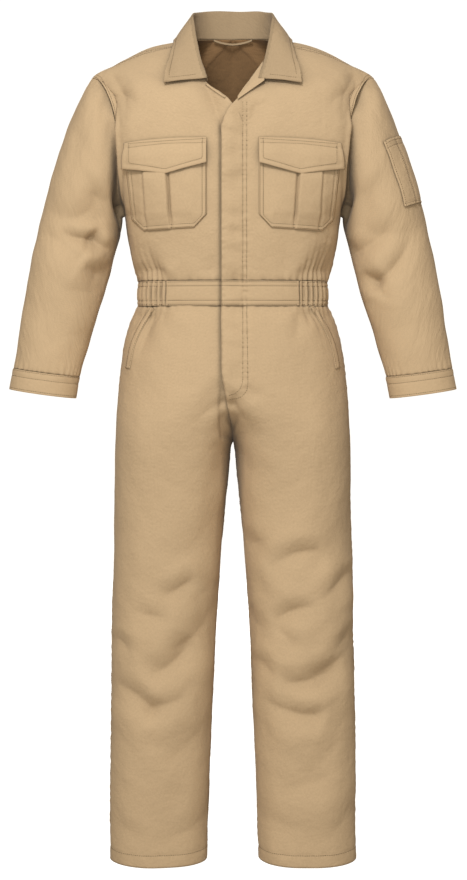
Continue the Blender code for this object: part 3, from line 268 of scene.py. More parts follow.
# folds: a soft trough from one point to another, bowed sideways, deeper at one end than the other
FOLDS = (
    # face    x1      z1      x2      z2     bow   half_width depth start end
    ("front", -0.335, -0.300, -0.235, -0.325, -0.008, 0.020, 0.0060, 0.5, 0.9),
    ("front", -0.262, -0.235, -0.232, -0.330, 0.006, 0.012, 0.0050, 0.3, 0.8),
    ("front", -0.252, -0.440, -0.214, -0.392, 0.004, 0.012, 0.0050, 0.4, 1.0),
    ("front", -0.275, -0.130, -0.290, -0.240, 0.006, 0.016, 0.0040, 0.6, 0.3),
    ("front", 0.262, -0.235, 0.232, -0.330, -0.006, 0.012, 0.0045, 0.3, 0.8),
    ("front", 0.335, -0.330, 0.240, -0.345, 0.008, 0.019, 0.0050, 0.4, 0.9),
    ("front", 0.285, -0.120, 0.300, -0.240, -0.006, 0.016, 0.0035, 0.6, 0.3),
    ("front", -0.300, -0.342, -0.240, -0.351, -0.006, 0.007, 0.0085, 0.5, 1.0),
    ("front", -0.241, -0.350, -0.218, -0.371, -0.004, 0.007, 0.0070, 1.0, 0.4),
    ("front", -0.247, -0.354, -0.282, -0.393, 0.006, 0.008, 0.0050, 0.9, 0.2),
    ("front", -0.342, -0.338, -0.271, -0.388, 0.004, 0.010, 0.0060, 0.2, 0.9),
    ("front", -0.320, -0.321, -0.249, -0.304, -0.004, 0.010, 0.0038, 0.2, 0.8),
    ("front", -0.271, -0.270, -0.225, -0.288, 0.003, 0.010, 0.0035, 0.3, 0.9),
    ("front", -0.304, -0.437, -0.248, -0.446, -0.003, 0.011, 0.0035, 0.3, 0.8),
    ("front", -0.255, -0.403, -0.228, -0.423, 0.002, 0.008, 0.0050, 0.8, 0.4),
    ("front", -0.357, -0.460, -0.304, -0.513, 0.005, 0.014, 0.0030, 0.2, 0.5),
    ("front", -0.331, -0.539, -0.269, -0.522, 0.003, 0.012, 0.0025, 0.2, 0.6),
    ("front", -0.247, -0.079, -0.271, -0.196, 0.006, 0.013, 0.0045, 0.9, 0.1),
    ("front", -0.226, -0.072, -0.240, -0.178, 0.003, 0.010, 0.0050, 1.0, 0.1),
    ("front", -0.215, -0.100, -0.226, -0.222, 0.003, 0.010, 0.0045, 1.0, 0.2),
    ("front", 0.286, -0.321, 0.212, -0.377, 0.006, 0.010, 0.0055, 0.3, 0.9),
    ("front", 0.317, -0.349, 0.250, -0.430, 0.008, 0.010, 0.0085, 0.3, 1.0),
    ("front", 0.251, -0.430, 0.230, -0.403, 0.004, 0.008, 0.0060, 1.0, 0.4),
    ("front", 0.248, -0.435, 0.283, -0.462, -0.004, 0.009, 0.0045, 0.8, 0.2),
    ("front", 0.341, -0.393, 0.294, -0.446, 0.004, 0.012, 0.0040, 0.3, 0.6),
    ("front", 0.207, -0.284, 0.260, -0.263, 0.002, 0.011, 0.0030, 0.5, 0.2),
    ("front", 0.262, -0.522, 0.341, -0.499, 0.004, 0.014, 0.0030, 0.4, 0.3),
    ("front", 0.247, -0.079, 0.275, -0.178, -0.006, 0.013, 0.0040, 0.9, 0.1),
    ("front", 0.222, -0.069, 0.212, -0.139, 0.004, 0.009, 0.0055, 1.0, 0.4),
    ("front", 0.229, -0.100, 0.236, -0.222, -0.003, 0.011, 0.0045, 0.9, 0.1),
    ("front", -0.198, -0.092, -0.160, -0.141, 0.006, 0.012, 0.0040, 1.0, 0.1),
    ("front", 0.198, -0.092, 0.162, -0.144, -0.006, 0.012, 0.0040, 1.0, 0.1),
    ("front", -0.212, -0.063, -0.187, -0.145, 0.006, 0.009, 0.0045, 1.0, 0.3),
    ("front", 0.215, -0.063, 0.193, -0.142, -0.006, 0.009, 0.0045, 1.0, 0.3),
    ("front", -0.047, -0.088, -0.028, -0.147, 0.004, 0.009, 0.0045, 0.9, 0.2),
    ("front", -0.050, -0.081, -0.017, -0.171, 0.003, 0.007, 0.0030, 0.5, 0.9),
    ("front", 0.040, -0.123, 0.031, -0.176, -0.003, 0.009, 0.0040, 1.0, 0.2),
    ("front", -0.017, -0.255, 0.021, -0.248, 0.001, 0.006, 0.0012, 0.5, 1.0),
    ("front", -0.167, -0.393, -0.156, -0.428, 0.002, 0.008, 0.0050, 0.3, 1.0),
    ("front", -0.150, -0.373, -0.140, -0.426, 0.003, 0.009, 0.0045, 0.2, 1.0),
    ("front", -0.137, -0.395, -0.129, -0.428, 0.001, 0.006, 0.0040, 0.2, 1.0),
    ("front", -0.125, -0.401, -0.120, -0.428, 0.001, 0.005, 0.0030, 0.2, 1.0),
    ("front", 0.118, -0.395, 0.122, -0.428, 0.001, 0.005, 0.0035, 0.2, 1.0),
    ("front", 0.132, -0.382, 0.132, -0.428, 0.001, 0.007, 0.0045, 0.2, 1.0),
    ("front", 0.158, -0.355, 0.144, -0.427, 0.004, 0.009, 0.0055, 0.2, 1.0),
    ("front", 0.173, -0.375, 0.159, -0.426, 0.003, 0.007, 0.0045, 0.3, 1.0),
    ("front", -0.072, -0.344, -0.124, -0.395, 0.006, 0.016, 0.0028, 0.5, 0.3),
    ("front", -0.029, -0.371, -0.047, -0.426, 0.003, 0.012, 0.0022, 0.3, 0.8),
    ("front", 0.083, -0.349, 0.126, -0.395, -0.005, 0.015, 0.0028, 0.4, 0.5),
    ("front", 0.052, -0.375, 0.100, -0.423, 0.004, 0.013, 0.0022, 0.3, 0.6),
    ("front", -0.160, -0.471, -0.183, -0.539, -0.004, 0.009, 0.0050, 1.0, 0.1),
    ("front", -0.143, -0.471, -0.164, -0.551, -0.004, 0.009, 0.0040, 1.0, 0.1),
    ("front", -0.127, -0.469, -0.170, -0.575, -0.005, 0.008, 0.0035, 1.0, 0.2),
    ("front", -0.118, -0.469, -0.122, -0.513, -0.001, 0.006, 0.0030, 1.0, 0.1),
    ("front", 0.118, -0.469, 0.111, -0.539, -0.002, 0.007, 0.0035, 1.0, 0.1),
    ("front", 0.129, -0.469, 0.134, -0.513, 0.002, 0.006, 0.0040, 1.0, 0.1),
    ("front", 0.141, -0.469, 0.157, -0.521, 0.002, 0.007, 0.0040, 1.0, 0.1),
    ("front", 0.158, -0.471, 0.183, -0.539, 0.003, 0.008, 0.0045, 1.0, 0.1),
    ("front", -0.014, -0.618, -0.070, -0.674, 0.006, 0.011, 0.0060, 1.0, 0.2),
    ("front", -0.013, -0.637, -0.024, -0.650, 0.001, 0.005, 0.0030, 1.0, 0.2),
    ("front", -0.011, -0.664, -0.038, -0.697, 0.004, 0.010, 0.0035, 1.0, 0.1),
    ("front", -0.018, -0.732, -0.047, -0.802, 0.006, 0.016, 0.0040, 0.6, 0.3),
    ("front", 0.027, -0.616, 0.051, -0.629, -0.002, 0.006, 0.0026, 1.0, 0.2),
    ("front", -0.001, -0.636, 0.043, -0.687, -0.006, 0.010, 0.0050, 1.0, 0.2),
    ("front", -0.001, -0.639, 0.007, -0.651, -0.001, 0.004, 0.0028, 1.0, 0.2),
    ("front", 0.003, -0.668, 0.017, -0.703, -0.003, 0.009, 0.0030, 0.9, 0.1),
    ("front", 0.011, -0.706, 0.034, -0.767, -0.006, 0.014, 0.0034, 0.5, 0.4),
    ("front", -0.028, -0.831, -0.093, -0.910, 0.010, 0.019, 0.0045, 0.5, 0.6),
    ("front", -0.159, -0.836, -0.197, -0.883, 0.004, 0.015, 0.0025, 0.3, 0.5),
    ("front", -0.074, -0.954, -0.130, -0.979, 0.003, 0.009, 0.0065, 1.0, 0.2),
    ("front", -0.039, -0.964, -0.087, -1.002, 0.004, 0.013, 0.0045, 0.5, 0.5),
    ("front", -0.167, -1.005, -0.123, -1.015, -0.003, 0.009, 0.0040, 0.5, 0.7),
    ("front", -0.036, -1.010, -0.096, -1.074, 0.008, 0.014, 0.0060, 0.5, 0.9),
    ("front", -0.075, -1.074, -0.136, -1.116, 0.004, 0.012, 0.0080, 0.9, 0.6),
    ("front", -0.205, -1.060, -0.181, -1.086, 0.003, 0.008, 0.0040, 1.0, 0.2),
    ("front", -0.204, -1.139, -0.144, -1.182, 0.005, 0.010, 0.0065, 0.4, 1.0),
    ("front", -0.144, -1.181, -0.093, -1.163, 0.002, 0.009, 0.0050, 1.0, 0.5),
    ("front", -0.093, -1.163, -0.055, -1.120, 0.003, 0.013, 0.0045, 0.6, 0.3),
    ("front", -0.046, -1.204, -0.106, -1.264, 0.008, 0.018, 0.0055, 0.5, 0.6),
    ("front", -0.090, -1.291, -0.108, -1.369, 0.005, 0.020, 0.0040, 0.4, 0.5),
    ("front", -0.204, -1.390, -0.154, -1.405, -0.002, 0.010, 0.0030, 0.6, 0.3),
    ("front", -0.047, -1.381, -0.126, -1.412, 0.004, 0.014, 0.0040, 0.6, 0.4),
    ("front", -0.203, -1.218, -0.189, -1.267, 0.003, 0.012, 0.0025, 0.5, 0.3),
    ("front", 0.026, -0.888, 0.064, -0.879, -0.003, 0.010, 0.0040, 0.9, 0.2),
    ("front", 0.071, -0.924, 0.146, -0.899, 0.007, 0.010, 0.0065, 0.6, 0.8),
    ("front", 0.195, -0.836, 0.125, -0.950, 0.010, 0.019, 0.0055, 0.4, 0.8),
    ("front", 0.205, -0.943, 0.158, -0.984, 0.003, 0.009, 0.0060, 1.0, 0.3),
    ("front", 0.078, -1.019, 0.144, -0.995, 0.004, 0.009, 0.0065, 0.9, 0.5),
    ("front", 0.026, -1.017, 0.052, -1.055, 0.003, 0.011, 0.0035, 0.9, 0.2),
    ("front", 0.105, -1.064, 0.061, -1.030, -0.003, 0.009, 0.0040, 0.8, 0.3),
    ("front", 0.209, -1.045, 0.185, -1.074, 0.002, 0.008, 0.0045, 1.0, 0.3),
    ("front", 0.208, -1.076, 0.147, -1.117, 0.006, 0.013, 0.0060, 0.6, 0.9),
    ("front", 0.180, -1.116, 0.095, -1.134, 0.004, 0.011, 0.0080, 0.8, 0.8),
    ("front", 0.047, -1.098, 0.076, -1.136, 0.003, 0.009, 0.0040, 0.8, 0.2),
    ("front", 0.064, -1.171, 0.145, -1.191, -0.004, 0.010, 0.0070, 0.5, 1.0),
    ("front", 0.145, -1.191, 0.206, -1.156, 0.003, 0.013, 0.0045, 0.8, 0.3),
    ("front", 0.197, -1.204, 0.140, -1.286, 0.008, 0.018, 0.0050, 0.5, 0.6),
    ("front", 0.048, -1.204, 0.076, -1.252, 0.003, 0.012, 0.0030, 0.8, 0.2),
    ("front", 0.162, -1.301, 0.095, -1.318, 0.003, 0.013, 0.0040, 0.6, 0.5),
    ("front", 0.053, -1.376, 0.143, -1.395, -0.003, 0.014, 0.0035, 0.6, 0.4),
    ("front", 0.214, -1.366, 0.153, -1.415, 0.004, 0.015, 0.0045, 0.6, 0.4),
    ("back", 0.232, -0.080, 0.150, -0.150, 0.010, 0.014, 0.0045, 1.0, 0.1),
    ("back", -0.228, -0.085, -0.140, -0.165, -0.010, 0.014, 0.0050, 1.0, 0.1),
    ("back", 0.205, -0.180, 0.130, -0.230, 0.008, 0.013, 0.0040, 1.0, 0.1),
    ("back", -0.205, -0.190, -0.120, -0.225, -0.006, 0.013, 0.0040, 1.0, 0.1),
    ("back", 0.188, -0.300, 0.110, -0.330, 0.008, 0.014, 0.0040, 0.9, 0.2),
    ("back", -0.188, -0.290, -0.100, -0.340, -0.008, 0.014, 0.0045, 0.9, 0.2),
    ("back", 0.060, -0.330, 0.075, -0.424, 0.006, 0.012, 0.0040, 0.3, 1.0),
    ("back", -0.050, -0.345, -0.062, -0.424, -0.006, 0.011, 0.0038, 0.3, 1.0),
    ("back", 0.015, -0.360, 0.010, -0.424, 0.002, 0.010, 0.0030, 0.3, 1.0),
    ("back", 0.110, -0.350, 0.118, -0.424, 0.004, 0.011, 0.0045, 0.3, 1.0),
    ("back", -0.105, -0.335, -0.114, -0.424, -0.004, 0.011, 0.0045, 0.3, 1.0),
    ("back", 0.150, -0.365, 0.140, -0.424, 0.003, 0.009, 0.0045, 0.3, 1.0),
    ("back", -0.150, -0.370, -0.142, -0.424, -0.003, 0.009, 0.0045, 0.3, 1.0),
    ("back", 0.040, -0.471, 0.052, -0.560, 0.004, 0.012, 0.0035, 1.0, 0.1),
    ("back", -0.045, -0.471, -0.060, -0.550, -0.004, 0.012, 0.0035, 1.0, 0.1),
    ("back", 0.120, -0.471, 0.135, -0.560, 0.004, 0.011, 0.0045, 1.0, 0.1),
    ("back", -0.118, -0.471, -0.130, -0.565, -0.004, 0.011, 0.0045, 1.0, 0.1),
    ("back", 0.010, -0.690, 0.120, -0.775, 0.012, 0.014, 0.0065, 1.0, 0.2),
    ("back", -0.010, -0.685, -0.115, -0.790, -0.012, 0.014, 0.0065, 1.0, 0.2),
    ("back", 0.020, -0.725, 0.150, -0.840, 0.010, 0.015, 0.0055, 0.9, 0.2),
    ("back", -0.022, -0.735, -0.140, -0.830, -0.010, 0.015, 0.0055, 0.9, 0.2),
    ("back", 0.060, -0.780, 0.180, -0.800, 0.008, 0.016, 0.0050, 0.5, 0.7),
    ("back", -0.190, -0.780, -0.070, -0.760, 0.008, 0.016, 0.0045, 0.5, 0.7),
    ("back", 0.060, -1.000, 0.160, -1.030, 0.008, 0.012, 0.0075, 0.7, 0.6),
    ("back", 0.090, -1.070, 0.205, -1.050, 0.008, 0.012, 0.0075, 0.4, 1.0),
    ("back", 0.050, -1.105, 0.150, -1.130, 0.006, 0.012, 0.0060, 0.8, 0.4),
    ("back", 0.110, -1.190, 0.205, -1.160, 0.006, 0.013, 0.0050, 0.4, 0.8),
    ("back", -0.180, -0.990, -0.070, -1.020, -0.008, 0.012, 0.0070, 0.8, 0.5),
    ("back", -0.200, -1.080, -0.090, -1.050, -0.008, 0.012, 0.0080, 0.9, 0.5),
    ("back", -0.150, -1.130, -0.055, -1.110, -0.006, 0.012, 0.0060, 0.4, 0.9),
    ("back", -0.205, -1.180, -0.100, -1.205, -0.006, 0.013, 0.0050, 0.8, 0.3),
    ("back", 0.080, -1.300, 0.180, -1.330, 0.006, 0.017, 0.0040, 0.4, 0.6),
    ("back", -0.180, -1.290, -0.085, -1.325, 0.006, 0.017, 0.0040, 0.4, 0.6),
    ("back", 0.075, -1.400, 0.190, -1.385, -0.004, 0.016, 0.0035, 0.5, 0.5),
    ("back", -0.190, -1.390, -0.080, -1.405, -0.004, 0.016, 0.0035, 0.5, 0.5),
    ("back", 0.300, -0.330, 0.215, -0.360, 0.006, 0.011, 0.0060, 0.3, 1.0),
    ("back", 0.340, -0.400, 0.240, -0.415, 0.006, 0.011, 0.0070, 0.4, 1.0),
    ("back", 0.290, -0.460, 0.350, -0.440, 0.004, 0.012, 0.0045, 0.5, 0.5),
    ("back", -0.320, -0.350, -0.220, -0.370, 0.006, 0.011, 0.0065, 0.4, 1.0),
    ("back", -0.350, -0.410, -0.245, -0.430, 0.006, 0.011, 0.0060, 0.4, 1.0),
    ("back", -0.340, -0.480, -0.270, -0.460, 0.004, 0.012, 0.0040, 0.5, 0.5),
    ("back", 0.245, -0.085, 0.275, -0.190, -0.006, 0.013, 0.0045, 0.9, 0.1),
    ("back", -0.240, -0.085, -0.270, -0.195, 0.006, 0.013, 0.0045, 0.9, 0.1),
)


# ---------------------------------------------------------------------------------- small tools
def smooth(table, at):
    """All columns after the first, read at values of the first by a smooth curve through the rows."""
    rows = np.array(table, float)
    if rows[0, 0] > rows[-1, 0]:
        rows = rows[::-1]
    keys, values = rows[:, 0], rows[:, 1:]
    at = np.clip(np.asarray(at, float), keys[0], keys[-1])
    low = np.clip(np.searchsorted(keys, at, side="right") - 1, 0, len(keys) - 2)
    steps = np.diff(keys)
    slopes = np.diff(values, axis=0) / steps[:, None]
    tangents = np.vstack([slopes[:1], (values[2:] - values[:-2]) / (keys[2:] - keys[:-2])[:, None],
                          slopes[-1:]])
    span = steps[low][..., None]
    t = ((at - keys[low]) / steps[low])[..., None]
    return (values[low] * (2 * t ** 3 - 3 * t ** 2 + 1) + tangents[low] * span * (t ** 3 - 2 * t ** 2 + t)
            + values[low + 1] * (3 * t ** 2 - 2 * t ** 3) + tangents[low + 1] * span * (t ** 3 - t ** 2))


def ease(value, start, end):
    """0 before start, 1 after end, soft between."""
    share = np.clip((np.asarray(value, float) - start) / (end - start), 0.0, 1.0)
    return share * share * (3 - 2 * share)


def close_to(value, place, width):
    """1 on a line, fading to nothing within about two widths on both sides of it."""
    return np.exp(-((value - place) / width) ** 2)


def uneven_wave(along, quick, slow, drift, shift=0.0):
    """A wave whose spacing drifts, so that no two of its crests are alike."""
    return np.sin(along * quick + drift * np.sin(along * slow + shift))


def travel(line):
    """Distance along a line of points, from its first one."""
    return np.concatenate([[0.0], np.cumsum(np.linalg.norm(np.diff(line, axis=0), axis=1))])


def mirrored(grid):
    """The same grid on the wearer's right."""
    return grid * np.array([-1.0, 1.0, 1.0])


def unit(vectors):
    """Vectors of length 1."""
    return vectors / np.maximum(np.linalg.norm(vectors, axis=-1, keepdims=True), 1e-12)


# ---------------------------------------------------------------------------------- the forms
def sleeve_grid(lengths, turns):
    """Points of the left sleeve: turn 0 is the outer edge, a quarter the front, a half the underarm."""
    outer_x, outer_z, inner_x, inner_z, mid_y, depth, bow = np.moveaxis(
        smooth(SLEEVE, lengths)[:, None, :], -1, 0)
    along = np.cos(turns)[None, :]
    across = np.sin(turns)[None, :]
    curve_in = bow * np.abs(across) * (ARMHOLE_BOW[0] + ARMHOLE_BOW[1] * along)
    x = (outer_x + inner_x) / 2 + along * (outer_x - inner_x) / 2 - curve_in
    z = (outer_z + inner_z) / 2 + along * (outer_z - inner_z) / 2
    return np.stack([x, mid_y - across * depth, z], axis=-1)


def side_edge(rows, face):
    """The side seam below the underarm, the armhole above it."""
    seam = smooth(SIDE_SEAM, rows)
    below = np.stack([seam[:, 0], np.full(len(rows), SIDE_Y), seam[:, 1]], axis=-1)
    turns = np.pi * (1 - (rows - UNDERARM_ROW) / (TOP_ROW - UNDERARM_ROW))
    turns = np.clip(turns, 0.0, np.pi) * (1 if face == "front" else -1)
    above = sleeve_grid(np.array([0.0]), turns)[0]
    return np.where((rows <= UNDERARM_ROW)[:, None], below, above)


def bodice_grid(face, rows, shares, lap=0.0):
    """Points of the left half of the bodice; share 0 is its centre edge and 1 its side."""
    rows = np.asarray(rows, float)
    edge = smooth(FRONT_EDGE if face == "front" else BACK_EDGE, rows)
    edge[:, 0] -= lap * (1 - ease(rows, *LAP_ENDS_ROW))
    if face == "back":
        edge[:, 0] = np.maximum(edge[:, 0], 0.0)
        edge[:, 2] = np.minimum(edge[:, 2], BACK_NECK_Z)
    side = side_edge(rows, face)
    form = smooth(FRONT_FORM if face == "front" else BACK_FORM, rows)
    squareness, drop, bow_y, bow_z = (form[:, n][:, None] for n in range(4))
    across = np.sin(np.asarray(shares) * np.pi / 2)[None, :]
    round_off = 1 - np.maximum(1 - across ** squareness, 0.0) ** (1 / squareness)
    bow = np.sin(np.pi * across)
    fall = drop * across + (1 - drop) * round_off
    x = edge[:, 0:1] + (side[:, 0:1] - edge[:, 0:1]) * across
    y = edge[:, 1:2] + (side[:, 1:2] - edge[:, 1:2]) * round_off + bow_y * bow
    z = edge[:, 2:3] + (side[:, 2:3] - edge[:, 2:3]) * fall + bow_z * bow
    return np.stack([x, y, z], axis=-1)


def band_grid(face, shares, levels, lap=0.0):
    """Points of the waistband, and of the first trouser row, on the bodice's lowest row."""
    levels = np.asarray(levels, float)
    grid = np.repeat(bodice_grid(face, [0.0], shares, lap), len(levels), axis=0)
    down = np.clip((WAIST_TOP_Z - levels) / (WAIST_TOP_Z - WAIST_LOW_Z), 0.0, 1.0)[:, None]
    width = SIDE_SEAM[0][1]
    grid[:, :, 0] += down * (HIPS[0][1] - width) * np.maximum(grid[:, :, 0], 0) / width
    grid[:, :, 2] = levels[:, None]
    return grid


def leg_grid(face, levels, shares, lap=0.0):
    """Points of a left trouser panel: one round body at the hips that parts into a leg tube."""
    levels = np.asarray(levels, float)
    hips = smooth(HIPS, levels)
    legs = smooth(LEG, levels)
    upper = levels >= CROTCH_Z
    middle = np.where(upper, hips[:, 0] * np.minimum(hips[:, 3], 0.5), (legs[:, 0] + legs[:, 1]) / 2)
    half = np.where(upper, hips[:, 0] - middle, legs[:, 1] - middle)
    inner = np.where(upper, -lap * ease(levels, *LAP_ENDS_Z), legs[:, 0])
    depth = np.where(upper, -hips[:, 1], -legs[:, 2])
    if face == "back":
        depth = np.where(upper, hips[:, 2], legs[:, 3])
    reach = np.clip((middle - inner) / half, -1.0, 1.0)
    start = -np.sign(reach) * np.arcsin(np.abs(reach) ** (LEG_SQUARENESS / 2))
    turn = start[:, None] + (np.pi / 2 - start[:, None]) * np.asarray(shares)[None, :]
    x = middle[:, None] + half[:, None] * np.sign(np.sin(turn)) * np.abs(np.sin(turn)) ** (2 / LEG_SQUARENESS)
    aside = np.clip(np.abs(np.abs(x) - middle[:, None]) / half[:, None], 0.0, 1.0)
    bulge = np.maximum(1 - aside ** LEG_SQUARENESS, 0.0) ** (1 / LEG_SQUARENESS)
    y = SIDE_Y + (depth[:, None] - SIDE_Y) * bulge
    z = np.repeat(levels[:, None], x.shape[1], axis=1)
    grid = np.stack([x, y, z], axis=-1)
    blend = ease(levels, TROUSER_FORM_Z, WAIST_LOW_Z)[:, None, None]
    above = band_grid(face, shares, np.full(len(levels), WAIST_LOW_Z), lap)
    above[:, :, :2] *= (hips[:, 0] / HIPS[0][1])[:, None, None]
    above[:, :, 2] = levels[:, None]
    return grid * (1 - blend) + above * blend


def even_shares(form, count):
    """Shares of a panel's width that lie evenly along one row of its form."""
    trial = np.linspace(0.0, 1.0, 801)
    line = form(trial)
    reach = travel(line)
    return np.interp(np.linspace(0.0, reach[-1], count), reach, trial)


# ---------------------------------------------------------------------------------- normals and folds
def grid_normals(grid, tube, outward):
    """Unit normals of a grid of points, turned to the side that outward says for its middle point."""
    if tube:
        along = np.roll(grid, -1, axis=1) - np.roll(grid, 1, axis=1)
    else:
        along = np.gradient(grid, axis=1)
    down = np.gradient(grid, axis=0)
    normals = unit(np.cross(along, down))
    middle = normals[grid.shape[0] // 2, grid.shape[1] // 2]
    return -normals if np.dot(middle, outward) < 0 else normals


def fold_depth(points, normals):
    """How far the folds press the cloth in at each point of a grid."""
    flat = points.reshape(-1, 3)
    facing = normals.reshape(-1, 3)[:, 1]
    depth = np.zeros(len(flat))
    for face, x1, z1, x2, z2, bow, half_width, deep, start, end in FOLDS:
        weight = ease(-facing if face == "front" else facing, 0.0, FACING)
        reach = half_width * FOLD_REACH + abs(bow) * 2
        near = ((flat[:, 0] > min(x1, x2) - reach) & (flat[:, 0] < max(x1, x2) + reach)
                & (flat[:, 2] > min(z1, z2) - reach) & (flat[:, 2] < max(z1, z2) + reach) & (weight > 0))
        if not near.any():
            continue
        place = flat[near][:, [0, 2]]
        run = np.array([x2 - x1, z2 - z1])
        long = np.linalg.norm(run)
        across = np.array([-run[1], run[0]]) / long
        offset = place - np.array([x1, z1])
        along = offset @ run / long ** 2
        inside = np.clip(along, 0.0, 1.0)
        curve = bow * 4 * inside * (1 - inside)
        side = offset @ across - curve
        beyond = (along - inside) * long
        upper = side * (1 if across[1] > 0 else -1) > 0
        side = side / np.where(upper, UPPER_WALL, LOWER_WALL)
        distance = np.sqrt(side ** 2 + beyond ** 2 + (FOLD_FOOT * half_width) ** 2)
        fade = FOLD_ENDS + (1 - FOLD_ENDS) * np.sin(np.pi * (0.08 + 0.84 * inside))
        strength = (start + (end - start) * inside) * fade
        trough = np.clip(1 - distance / (2 * half_width), 0.0, 1.0) ** 2
        ridge = close_to(distance, RIDGE_AT[0] * half_width, RIDGE_AT[1] * half_width)
        depth[near] += weight[near] * deep * FOLD_GAIN * strength * (trough - FOLD_RIDGE * ridge)
    return depth.reshape(points.shape[:2])


def held_at(gap):
    """The share of a fold's depth that is left at a distance from the seam that holds the cloth."""
    return HELD[0] + (1 - HELD[0]) * ease(gap, 0.0, HELD[1])


def ripple(points, seed, size, height):
    """A soft, uneven swell of the cloth, the same each time for a seed."""
    rng = np.random.default_rng(seed)
    swell = np.zeros(points.shape[:2])
    for _ in range(WAVES):
        direction = rng.normal(size=3)
        direction = direction / np.linalg.norm(direction)
        phase = rng.uniform(0, 2 * np.pi)
        swell += np.sin(points @ direction * (2 * np.pi / (size * rng.uniform(*WAVE_SPREAD))) + phase)
    return swell * height / WAVES


# ---------------------------------------------------------------------------------- materials
KHAKI = (0.640, 0.468, 0.282)
SHADED_KHAKI = (0.300, 0.172, 0.076)     # the cloth's inner face: a darker copy of the khaki, painted shade inside the garment
# the stitches: thread, darkened to carry the painted shade of the grooves it sinks into
THREAD_AND_GROOVE_SHADE_COLOUR = (0.250, 0.160, 0.080)
PATCH_SCALE = 5.0        # soft patches of tone
SLUB_SCALE = 270.0       # thick places in the yarn
RIB_SCALE = 230.0        # twill ribs
RIB_WEAR_SCALE = 160.0   # flat places among the ribs
CRUMPLE_SCALE = 34.0     # fine crumples
CREASE_REACH = 0.040     # painted shade: the cloth's colour is darkened in creases up to this wide
CREASE_SHADE = (0.25, 0.97, 0.42, 1.02)  # openness in the creases and outside them, and the tone at each


def twill(name, tone=1.0, colour=KHAKI):
    """Matt khaki twill: fine diagonal ribs, slubs, soft patches of tone, a little fuzz, and painted shade
    that darkens its colour in creases.
    """
    made = bpy.data.materials.new(name)
    made.use_nodes = True
    nodes, links = made.node_tree.nodes, made.node_tree.links
    shader = nodes["Principled BSDF"]
    shader.inputs["Roughness"].default_value = 0.88
    shader.inputs["Specular IOR Level"].default_value = 0.25
    shader.inputs["Sheen Weight"].default_value = 0.10
    shader.inputs["Sheen Roughness"].default_value = 0.55
    uv = nodes.new("ShaderNodeUVMap")
    uv.uv_map = "cut"
    place = nodes.new("ShaderNodeTexCoord")

    def noise(source, scale, detail, roughness=0.55):
        node = nodes.new("ShaderNodeTexNoise")
        node.inputs["Scale"].default_value = scale
        node.inputs["Detail"].default_value = detail
        node.inputs["Roughness"].default_value = roughness
        links.new(source, node.inputs["Vector"])
        return node.outputs["Fac"]

    def ramp(source, low, high, dark, light):
        node = nodes.new("ShaderNodeMapRange")
        node.inputs["From Min"].default_value = low
        node.inputs["From Max"].default_value = high
        node.inputs["To Min"].default_value = dark
        node.inputs["To Max"].default_value = light
        links.new(source, node.inputs["Value"])
        return node.outputs["Result"]

    def product(first, second):
        node = nodes.new("ShaderNodeMath")
        node.operation = "MULTIPLY"
        links.new(first, node.inputs[0])
        links.new(second, node.inputs[1])
        return node.outputs[0]

    patches = ramp(noise(place.outputs["Object"], PATCH_SCALE, 3.0), 0.3, 0.7, 0.965, 1.035)
    slubs = ramp(noise(uv.outputs["UV"], SLUB_SCALE, 3.0, 0.75), 0.25, 0.75, 0.925, 1.075)
    ribs = nodes.new("ShaderNodeTexWave")
    ribs.wave_type = "BANDS"
    ribs.bands_direction = "DIAGONAL"
    ribs.inputs["Scale"].default_value = RIB_SCALE
    ribs.inputs["Distortion"].default_value = 1.2
    ribs.inputs["Detail"].default_value = 1.0
    links.new(uv.outputs["UV"], ribs.inputs["Vector"])
    rib_tone = ramp(ribs.outputs["Fac"], 0.0, 1.0, 0.985, 1.015)
    # painted shade: an ambient occlusion test darkens the base colour in creases, hollows and under laid-on
    # pieces
    painted_crease_shade = nodes.new("ShaderNodeAmbientOcclusion")
    painted_crease_shade.samples = 6
    painted_crease_shade.inputs["Distance"].default_value = CREASE_REACH
    shade = ramp(painted_crease_shade.outputs["AO"], *CREASE_SHADE)
    amount = product(product(product(patches, slubs), rib_tone), shade)
    mix = nodes.new("ShaderNodeVectorMath")
    mix.operation = "SCALE"
    mix.inputs[0].default_value = tuple(part * tone for part in colour)
    links.new(amount, mix.inputs["Scale"])
    links.new(mix.outputs["Vector"], shader.inputs["Base Color"])
    wear = ramp(noise(uv.outputs["UV"], RIB_WEAR_SCALE, 3.0), 0.2, 0.8, 0.6, 1.0)
    height = product(ribs.outputs["Fac"], wear)
    bump = nodes.new("ShaderNodeBump")
    bump.inputs["Strength"].default_value = 0.30
    bump.inputs["Distance"].default_value = 0.0004
    links.new(height, bump.inputs["Height"])
    crumple = nodes.new("ShaderNodeBump")
    crumple.inputs["Strength"].default_value = 0.80
    crumple.inputs["Distance"].default_value = 0.0036
    links.new(noise(uv.outputs["UV"], CRUMPLE_SCALE, 5.0, 0.62), crumple.inputs["Height"])
    links.new(bump.outputs["Normal"], crumple.inputs["Normal"])
    links.new(crumple.outputs["Normal"], shader.inputs["Normal"])
    return made


SLOT_CLOTH = {
    "body_twill": twill("body_twill"),
    # painted shade: the collar's cloth is a darker copy of the body's, for the shade on its leaves
    "collar_twill": twill("collar_twill", 0.82),
    "cuff_twill": twill("cuff_twill", 0.99),
    "waistband_twill": twill("waistband_twill", 0.985),
    "trim_twill": twill("trim_twill"),
}
# painted shade: a darker copy of the cloth for the inside of the collar stand and the hanger loop, which lie
# in shade
SHADED_COLLAR_INNER = twill("shaded_collar_inner_twill", 0.66)
# painted shade: the shells' inner faces are given this darker khaki for the shade inside the garment
SHADED_INSIDE = twill("shaded_inside_twill", colour=SHADED_KHAKI)
# partly painted shade: the thread is darker than the cloth for the shadow in its stitch grooves
SHADED_THREAD = twill("thread", colour=THREAD_AND_GROOVE_SHADE_COLOUR)


